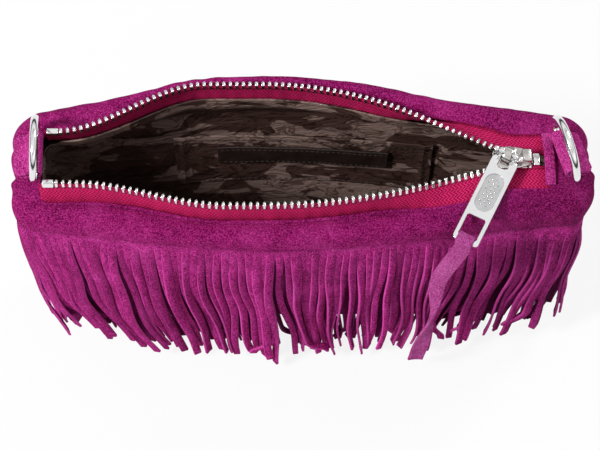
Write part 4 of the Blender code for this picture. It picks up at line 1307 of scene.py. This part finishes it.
def pull_strap(pin, along, down):
    """Suede strap looped through the window, which narrows, twists and sways as it falls."""
    bar = pin + down * (PULL_LENGTH - PULL_BAR / 2.0)
    away = Vector((down.x, down.y, 0.0)).normalized()
    path = strap_path()

    def strap(u, v):
        spot = u * (len(path) - 1)
        n = min(int(spot), len(path) - 2)
        out, drop, turn = (lerp(path[n][k], path[n + 1][k], spot - n) for k in range(3))
        fall = clamp(-drop / STRAP_LENGTH)
        sideways = 0.0016 * math.sin(math.pi * clamp((fall - 0.45) / 0.55))
        sideways -= STRAP_SWAY * 0.72 * smooth(fall / 0.45)
        wave = 0.0012 * math.sin(fall * 9.0) * smooth(fall * 3.0)
        cup = 0.0005 * (1.0 - (2.0 * v - 1.0) ** 2) * smooth(fall * 4.0) * math.cos(turn)
        width = (v - 0.5) * STRAP_WIDTH * (1.0 + 0.06 * rough(u * 14.0, v * 0.5, 0.0, 2.0))
        here = bar + along * (sideways + width * math.cos(turn))
        here += away * (out + wave + cup + width * math.sin(turn))
        here.z += drop * lerp(1.0, STRAP_STRETCH, fall)
        return here
    band = grid("strap_band", strap, 220, 10, (0.13, STRAP_WIDTH), STRAP_LOOK)
    thicken(band, STRAP_THICK, 0.0, 0.00025)
    settle(band, "strap", ("pull_strap",))


def zip_pull():
    """Pin, plate and strap of the pull."""
    base, pin, along, down = pull_frame()
    lug = (BRIDGE_WIDTH + 4.0 * GAP) / 2.0
    pull_pin(base, PULL_WIDTH - PIN_PLAY)
    pull_plate(base, lug, PULL_WIDTH - PIN_PLAY)
    pull_strap(pin, along, down)


def strap_path():
    """Path of the strap round the plate's end bar: outward offset, height and twist of each point."""
    half_bar = math.hypot(PULL_BAR, PULL_THICK) / 2.0
    radius = half_bar + GAP + STRAP_THICK / 2.0
    leg = (STRAP_THICK + GAP) / 2.0
    path = [(leg, -STRAP_FLAP, 0.0), (leg, -radius - STRAP_PINCH, 0.0)]
    turns = 24
    for n in range(turns + 1):
        angle = lerp(-STRAP_WRAP, math.pi + STRAP_WRAP, n / turns)
        path.append((radius * math.cos(angle), radius * math.sin(angle), 0.0))
    path.append((-leg, -radius - STRAP_PINCH, 0.0))
    falls = 40
    for n in range(falls + 1):
        share = n / falls
        drop = lerp(STRAP_FLAP + 3.0 * GAP, STRAP_LENGTH, share)
        out = lerp(-leg, STRAP_REACH, smooth(share))
        path.append((out, -drop, STRAP_TWIST * smooth((share - 0.35) / 0.5)))
    return path


# Strap rings and their tabs

def ring_path():
    """Closed centre line of a ring: straight bar on the Y axis with an arched top."""
    corner = 8
    bends = [math.pi / 2.0 * n / corner for n in range(corner + 1)]
    straight = RING_HALF_SPAN - RING_CORNER
    ends = [(straight + RING_CORNER * math.sin(b), RING_CORNER * (1.0 - math.cos(b))) for b in bends]
    arch = 40
    turns = [math.pi * n / arch for n in range(1, arch)]
    height = RING_RISE - RING_CORNER
    top = [(RING_HALF_SPAN * math.cos(t), RING_CORNER + height * math.sin(t)) for t in turns]
    return ends + top + [(-y, z) for y, z in reversed(ends)]


def ring_place(side):
    """An end's angle, the ring's place on the shoulder, its place across the bag and its tab's lift."""
    if side > 0.0:
        return 0.0, RIGHT_RING_SEAT, RIGHT_RING_Y, RIGHT_TAB_LIFT
    return math.pi, LEFT_RING_SEAT, LEFT_RING_Y, LEFT_TAB_LIFT


def ring_spot(side):
    """Centre of a ring's bar, carried by its tab above the turned end of the body."""
    angle, step, y, lift = ring_place(side)
    seat = shoulder(angle, step)
    return Vector((seat.x, y, seat.z + lift + SUEDE + GAP + WIRE_RADIUS))


def tab_path(side):
    """Section of a tab about the ring's bar: down the body's end, round the bar and back."""
    angle, seat_step, _, lift = ring_place(side)
    centre = ring_spot(side)
    radius = WIRE_RADIUS + GAP + SUEDE / 2.0

    def beside(step, off):
        here = shoulder(angle, step)
        run = shoulder(angle, step - 0.02) - here
        normal = Vector((-run.z * side, 0.0, run.x * side)).normalized()
        spot = here + normal * off
        return Vector((spot.x - centre.x, 0.0, spot.z - centre.z))
    tail = 16
    steps = [lerp(TAB_END + TAB_SHORTER, seat_step - TAB_TAIL, n / (tail - 1)) for n in range(tail)]
    path = [beside(step, lift + SUEDE / 2.0) for step in steps]
    turns = 24
    for n in range(turns + 1):
        turn = lerp(-math.pi / 2.0, math.pi, n / turns)
        path.append(Vector((-side * radius * math.cos(turn), 0.0, radius * math.sin(turn))))
    path.extend(beside(step, lift + 1.5 * SUEDE + 2.0 * GAP) for step in reversed(steps))
    return path


def strap_rings():
    """Wire rings standing in folded suede tabs."""
    for name, side, turn in (("left", -1.0, LEFT_RING_TURN), ("right", 1.0, RIGHT_RING_TURN)):
        matrix = at(*ring_spot(side)) @ Matrix.Rotation(turn, 4, "Z")
        line = [(0.0, y, z) for y, z in ring_path()]
        wire = tube(f"{name}_ring_wire", line, WIRE_RADIUS, SILVER_LOOK, True, 7)
        place(wire, matrix @ Matrix.Rotation(-side * RING_LEAN, 4, "Y"))
        settle(wire, f"ring_{name}", (f"{name}_ring",))

        path = tab_path(side)

        def tab(u, v, path=path):
            n = u * (len(path) - 1)
            k = min(int(n), len(path) - 2)
            here = path[k].lerp(path[k + 1], n - k)
            width = TAB_WIDTH * (1.0 + 0.015 * rough(u * 9.0, v * 0.3, 0.0, 31.0))
            width *= lerp(0.80, 1.0, ease(min(u, 1.0 - u), 0.0, 0.12))
            sag = 0.0003 * rough(u * 12.0, v * 5.0, 1.0, 37.0)
            return here + Vector((0.0, (v - 0.5) * width, sag))
        fold = grid(f"{name}_tab_fold", tab, 110, 14, (0.055, TAB_WIDTH), TAB_LOOK)
        thicken(fold, SUEDE * 0.85, 0.0, 0.0004)
        place(fold, matrix)
        for vert in fold.data.vertices:
            vert.co = tuck(vert.co)
        settle(fold, "bag", (f"{name}_ring_tab",))


def zip_end_strip():
    """Suede strip across the closed end of the zip."""
    start = MOUTH_RIGHT - GAP - END_STRIP_WIDTH
    crest = RIM_HEIGHT + TAPE / 2.0 + 2.0 * GAP + SUEDE

    def strip(u, v):
        x = lerp(start, MOUTH_RIGHT - GAP, u)
        y = lerp(-END_STRIP_HALF_LENGTH, END_STRIP_HALF_LENGTH, v)
        edge = tape_point(x, tape_shown(x, 1.0), TAPE / 2.0 + GAP + SUEDE, 1.0)
        share = abs(y) / edge.y
        crown = 0.0003 * math.sin(math.pi * u)
        z = lerp(crest, edge.z, (smooth(share) + share) / 2.0)
        return Vector((x, y, z + SUEDE + 2.0 * GAP + crown))
    piece = grid("zip_end_band", strip, 12, 60, (0.005, 0.026), TAB_LOOK)
    thicken(piece, SUEDE, soften=0.0003)
    settle(piece, "bag", ("zip_end_strip",), END_STRIP_KEEP)


# Fringe

FRINGE_TOP = RIM_HEIGHT - FRINGE_DROP
STRAND_PITCH = 0.0033
STRAND_STEPS = 30
FLOOR_CLEARANCE = 0.0035
UNDER_YOKE_SHADE = 0.62


def seam_table(height, steps=1600):
    """Angles and running length of the fringe's seam."""
    angles = [lerp(FRINGE_FROM, FRINGE_TO, n / steps) for n in range(steps + 1)]
    return angles, running_length([outline(angle, height) for angle in angles])


def angle_at(angles, run, want):
    """Angle at a running length along the seam."""
    index, share = locate(run, want)
    return lerp(angles[index], angles[index + 1], share)


def strand_mesh(bm, layers, sections):
    """Add one strand: a narrow strip with a slightly cupped face and pale raw edges."""
    rings = []
    thick = FRINGE_SUEDE * 0.95
    for centre, width, side, out, painted_shade_and_tone in sections:
        cup = out * (width * 0.07)
        top = out * (thick / 2.0)
        spots = (
            (centre - side * (width * 0.485) + top * 0.75, 1.0),
            (centre - side * (width * 0.375) + top + cup, 0.0),
            (centre + side * (width * 0.375) + top + cup, 0.0),
            (centre + side * (width * 0.485) + top * 0.75, 1.0),
            (centre + side * (width * 0.50) - top * 0.8, 1.0),
            (centre - top + cup * 0.6, 0.0),
            (centre - side * (width * 0.50) - top * 0.8, 1.0),
        )
        ring = []
        for spot, raw in spots:
            vert = bm.verts.new(spot)
            vert[layers[0]] = raw
            vert[layers[1]] = painted_shade_and_tone
            ring.append(vert)
        rings.append(ring)
    count = len(rings[0])
    for a, b in zip(rings, rings[1:]):
        for k in range(count):
            bm.faces.new((a[k], a[(k + 1) % count], b[(k + 1) % count], b[k]))
    bm.faces.new(list(reversed(rings[0])))
    bm.faces.new(rings[-1])


def strand_sections(dice, layer, tufts, lean, at_run, angle):
    """Centre, width, directions, and random tone with painted shade, of a strand along its length. Each one
    bends its own way.
    """
    def spread(low, high):
        return dice.uniform(low, high)

    def swell(scale, y, z, seed):
        return rough(at_run * scale, y, z, layer.seed + seed)
    head = tuck(outline(angle, FRINGE_TOP, layer.lift - FRINGE_SUEDE / 2.0))
    tangent, out = outward(outline(angle - 0.01, FRINGE_TOP), outline(angle + 0.01, FRINGE_TOP))
    along = Vector((1.0, 0.0, 0.0)).lerp(tangent, 0.5).normalized()
    away = Vector((out.x * 0.20, -abs(out.y) - 0.15, 0.0)).normalized()
    at_end = ease(abs(head.x + 0.004), 0.080, 0.120)
    shorter = 1.0 - at_end * (END_SHORTER_LEFT if head.x < 0.0 else END_SHORTER_RIGHT)
    start = spread(0.0030, 0.0065) + 0.0060 * dice.random() ** 2
    length = (FRINGE_LENGTH * layer.fall - start) * shorter * spread(0.955, 1.035)
    lean = 0.80 * lean + spread(-0.45, 0.45)
    drift = lerp(FLOW_LEFT, FLOW_RIGHT, ease(head.x, -0.125, 0.125))
    tuft = min(tufts, key=lambda t: abs(t - at_run))
    gather = (tuft - at_run) * spread(0.12, 0.42)
    sway = drift + gather + 0.0022 * lean + spread(-0.0012, 0.0012)
    bow = 0.0026 * swell(40.0, 0.0, 0.0, 0.0) - drift * 0.25 + spread(-0.0010, 0.0010)
    ripple = 0.0012 * (1.0 + swell(60.0, 1.0, 0.0, 3.0))
    phase = 5.0 * swell(28.0, 0.0, 2.0, 7.0) + spread(-0.4, 0.4)
    reach = layer.flare * (1.0 + 0.30 * swell(90.0, 0.0, 4.0, 1.0)) * spread(0.70, 1.15)
    proud = spread(-0.0004, 0.0020)
    shingle = math.radians(18.0 + 14.0 * swell(35.0, 3.0, 0.0, 0.0)) + spread(-0.35, 0.35)
    twist = spread(-1.0, 1.0) * (1.8 if dice.random() < 0.28 else 0.45)
    hook = spread(0.005, 0.010) * dice.choice((-1.0, 1.0)) if dice.random() < 0.14 else 0.0
    width = spread(0.0031, 0.0045)
    # Random tone per strand, plus painted shade: the inner layer's, and more towards the right end
    tone_and_painted_shade = spread(0.0, 0.44) ** 1.2 + layer.deep + 0.24 * ease(head.x, 0.050, 0.110)
    sections = []
    for k in range(STRAND_STEPS + 1):
        share = k / STRAND_STEPS
        drop = start + length * share
        tip = ease(share, 0.80, 1.0) ** 2
        side_way = sway * share ** 1.35 + bow * math.sin(math.pi * share) + hook * tip
        side_way += ripple * math.sin(phase + share * 8.5) * smooth(share * 1.6)
        forward = reach * share ** 1.15 + 0.0011 * math.sin(phase * 2.0 + share * 9.0) * share
        forward += proud * smooth(share * 3.0) - FRINGE_SUEDE * 0.55 * (1.0 - smooth(share * 12.0))
        here = Vector((head.x, head.y, FRINGE_TOP - drop + abs(hook) * 0.6 * tip))
        here += away * forward + along * side_way
        here.z = max(here.z, FLOOR_CLEARANCE)
        wide = width * (1.0 - 0.12 * share) * (1.0 + 0.12 * swell(400.0, share * 5.0, 0.0, 5.0))
        turn = shingle * smooth(share * 2.2) + twist * ease(share, 0.20, 0.95)
        side = tangent * math.cos(turn) - out * math.sin(turn)
        facing = out * math.cos(turn) + tangent * math.sin(turn)
        under = UNDER_YOKE_SHADE * ease(drop - YOKE_OVERLAP, 0.0050, 0.0005)
        sections.append((here, wide, side, facing, clamp(max(tone_and_painted_shade * smooth(share * 6.0), under))))
    return sections, lean


def fringe_band(layer, angles, run):
    """Uncut strip of a fringe layer, sewn under the yoke."""
    def header(u, v):
        angle = angle_at(angles, run, u * run[-1])
        height = FRINGE_TOP - BAND_HEIGHT * (1.0 - v)
        head = outline(angle, FRINGE_TOP, layer.lift)
        here = Vector((head.x, head.y, height)).lerp(outline(angle, height, layer.lift), 0.2)
        here.y -= 0.0008 * (0.5 + 0.5 * rough(head.x * 60.0, height * 80.0, 0.0, layer.seed)) * (1.0 - v)
        return tuck(here)
    band = grid(f"{layer.name}_band", header, 260, 8, (run[-1], BAND_HEIGHT), STRAND_LOOK)
    thicken(band, FRINGE_SUEDE * 0.8, soften=0.0002)
    shade(band, "painted_shade_and_tone", lambda spot: UNDER_YOKE_SHADE * ease(spot.z - YOKE_SEAM, -0.0050, -0.0005))
    return band


def fringe_layer(layer):
    """One cut layer: a header strip and hand-cut strands that bend, twist, lean and gather into tufts."""
    dice = random.Random(layer.seed)
    angles, run = seam_table(FRINGE_TOP)
    total = run[-1]
    band = fringe_band(layer, angles, run)
    tufts = []
    spot = -0.004
    while spot < total + 0.02:
        tufts.append(spot)
        spot += dice.uniform(0.012, 0.024)
    bm = bmesh.new()
    layers = (bm.verts.layers.float.new("raw_edge"), bm.verts.layers.float.new("painted_shade_and_tone"))
    margin = 0.0020
    count = int((total - margin) / STRAND_PITCH)
    lean = 0.0
    for n in range(count):
        at_run = margin + (n + 0.5 + layer.offset) * (total - 2.0 * margin) / count
        at_run = min(at_run + dice.uniform(-0.0004, 0.0004), total - margin)
        angle = angle_at(angles, run, at_run)
        sections, lean = strand_sections(dice, layer, tufts, lean, at_run, angle)
        strand_mesh(bm, layers, sections)
    strands = from_bmesh(f"{layer.name}_strands", bm, STRAND_LOOK)
    cut = join(layer.name, [band, strands], CLOTH_CREASE)
    settle(cut, "bag", (layer.node,), BODY_KEEP)


def fringes():
    """Both fringe layers, the inner one shorter than the outer one, with painted shade as it hangs behind it.
    """
    under = GAP + FRINGE_SUEDE
    # Painted shade: the inner layer is painted darker as it hangs behind the outer one
    fringe_layer(SimpleNamespace(
        name="inner_fringe", node="fringe_inner", lift=under, offset=0.0, seed=11,
        flare=FRINGE_FLARE * 0.55, fall=0.98, deep=0.50))
    fringe_layer(SimpleNamespace(
        name="outer_fringe", node="fringe_outer", lift=2.0 * under + GAP, offset=0.45, seed=29,
        flare=FRINGE_FLARE, fall=1.0, deep=0.0))


# Floor, lights and camera

WHITE = (1.0, 1.0, 1.0)
FLOOR_WHITE = 0.86
WORLD_LIGHT = 0.31
REFLECTED_BANDS = ((0.00, 0.06), (0.20, 0.05), (0.34, 0.75), (0.62, 1.0), (0.80, 0.42), (0.90, 0.95))
LAMPS = (
    ("key_light", (-0.85, -0.38, 0.95), 0.28, 14.0),
    ("fill_light", (0.50, -0.80, 0.90), 0.80, 0.7),
    ("back_light", (0.70, 0.60, 1.00), 0.40, 4.6),
)
LAMP_TARGET = Vector((0.0, 0.0, 0.08))
IMAGE_WIDTH = 600.0
FOCAL_PIXELS = 1400.0
SENSOR_WIDTH = 36.0
CAMERA_PITCH = math.radians(63.0)
CAMERA_DISTANCE = 0.609
CAMERA_RISE = 0.0278


def seen_directly(tree):
    """1 where the camera, a reflection or clear glass looks, and 0 for the light on things."""
    rays = tree.nodes.new("ShaderNodeLightPath").outputs
    either = calc(tree, "MAXIMUM", rays["Is Camera Ray"], rays["Is Glossy Ray"])
    return calc(tree, "MAXIMUM", either, rays["Is Transmission Ray"])


def show(tree, share, first, second, output):
    """Send a mix of two shaders to an output."""
    mix = tree.nodes.new("ShaderNodeMixShader")
    for index, socket in enumerate((share, first, second)):
        tree.links.new(socket, mix.inputs[index])
    tree.links.new(mix.outputs[0], tree.nodes[output].inputs["Surface"])


def studio():
    """White floor, soft lights and the camera at the photograph's angle."""
    scene = bpy.context.scene
    look, tree, shader = shader_of("floor_paper")
    grain = noise_node(tree, object_coordinates(tree), 30.0)
    dress(tree, shader, {"Base Color": grey_ramp(tree, grain, [(0.3, 0.92), (0.7, 0.94)]), "Roughness": 0.95})
    white = tree.nodes.new("ShaderNodeEmission")
    dress(tree, white, {"Color": WHITE, "Strength": 1.0})
    share = calc(tree, "MULTIPLY", seen_directly(tree), FLOOR_WHITE)
    show(tree, share, shader.outputs[0], white.outputs[0], "Material Output")
    bpy.ops.mesh.primitive_plane_add(size=6.0, location=(0.0, 0.0, -0.0002))
    floor = bpy.context.object
    floor.name = "floor"
    floor.data.materials.append(look)

    world = bpy.data.worlds.new("studio")
    scene.world = world
    world.use_nodes = True
    tree = world.node_tree
    back = tree.nodes["Background"]
    dress(tree, back, {"Color": WHITE, "Strength": WORLD_LIGHT})
    direction = tree.nodes.new("ShaderNodeSeparateXYZ")
    tree.links.new(tree.nodes.new("ShaderNodeTexCoord").outputs["Generated"], direction.inputs[0])
    bands = grey_ramp(tree, direction.outputs["Z"], REFLECTED_BANDS)
    camera_ray = tree.nodes.new("ShaderNodeLightPath").outputs["Is Camera Ray"]
    glow = tree.nodes.new("ShaderNodeBackground")
    dress(tree, glow, {"Color": mix_colour(tree, camera_ray, bands, WHITE), "Strength": 1.0})
    show(tree, seen_directly(tree), back.outputs[0], glow.outputs[0], "World Output")

    for name, spot, size, watts in LAMPS:
        lamp = bpy.data.lights.new(name, "AREA")
        lamp.shape = "DISK"
        lamp.size = size
        lamp.energy = watts
        holder = bpy.data.objects.new(name, lamp)
        scene.collection.objects.link(holder)
        holder.location = spot
        aim = LAMP_TARGET - Vector(spot)
        holder.rotation_euler = aim.to_track_quat("-Z", "Y").to_euler()

    camera = bpy.data.cameras.new("photo_camera")
    camera.sensor_width = SENSOR_WIDTH
    camera.sensor_fit = "HORIZONTAL"
    camera.lens = FOCAL_PIXELS / IMAGE_WIDTH * SENSOR_WIDTH
    camera.clip_start = 0.01
    holder = bpy.data.objects.new("photo_camera", camera)
    scene.collection.objects.link(holder)
    ahead = Vector((0.0, math.cos(CAMERA_PITCH), -math.sin(CAMERA_PITCH)))
    above = Vector((0.0, math.sin(CAMERA_PITCH), math.cos(CAMERA_PITCH)))
    holder.location = Vector((0.0, 0.0, RIM_HEIGHT)) - ahead * CAMERA_DISTANCE - above * CAMERA_RISE
    holder.rotation_euler = (math.pi / 2.0 - CAMERA_PITCH, 0.0, 0.0)
    scene.camera = holder
    scene.view_settings.view_transform = "Standard"


suede_body()
lining_bag()
zip_sides()
zip_slider()
zip_pull()
strap_rings()
zip_end_strip()
fringes()
studio()
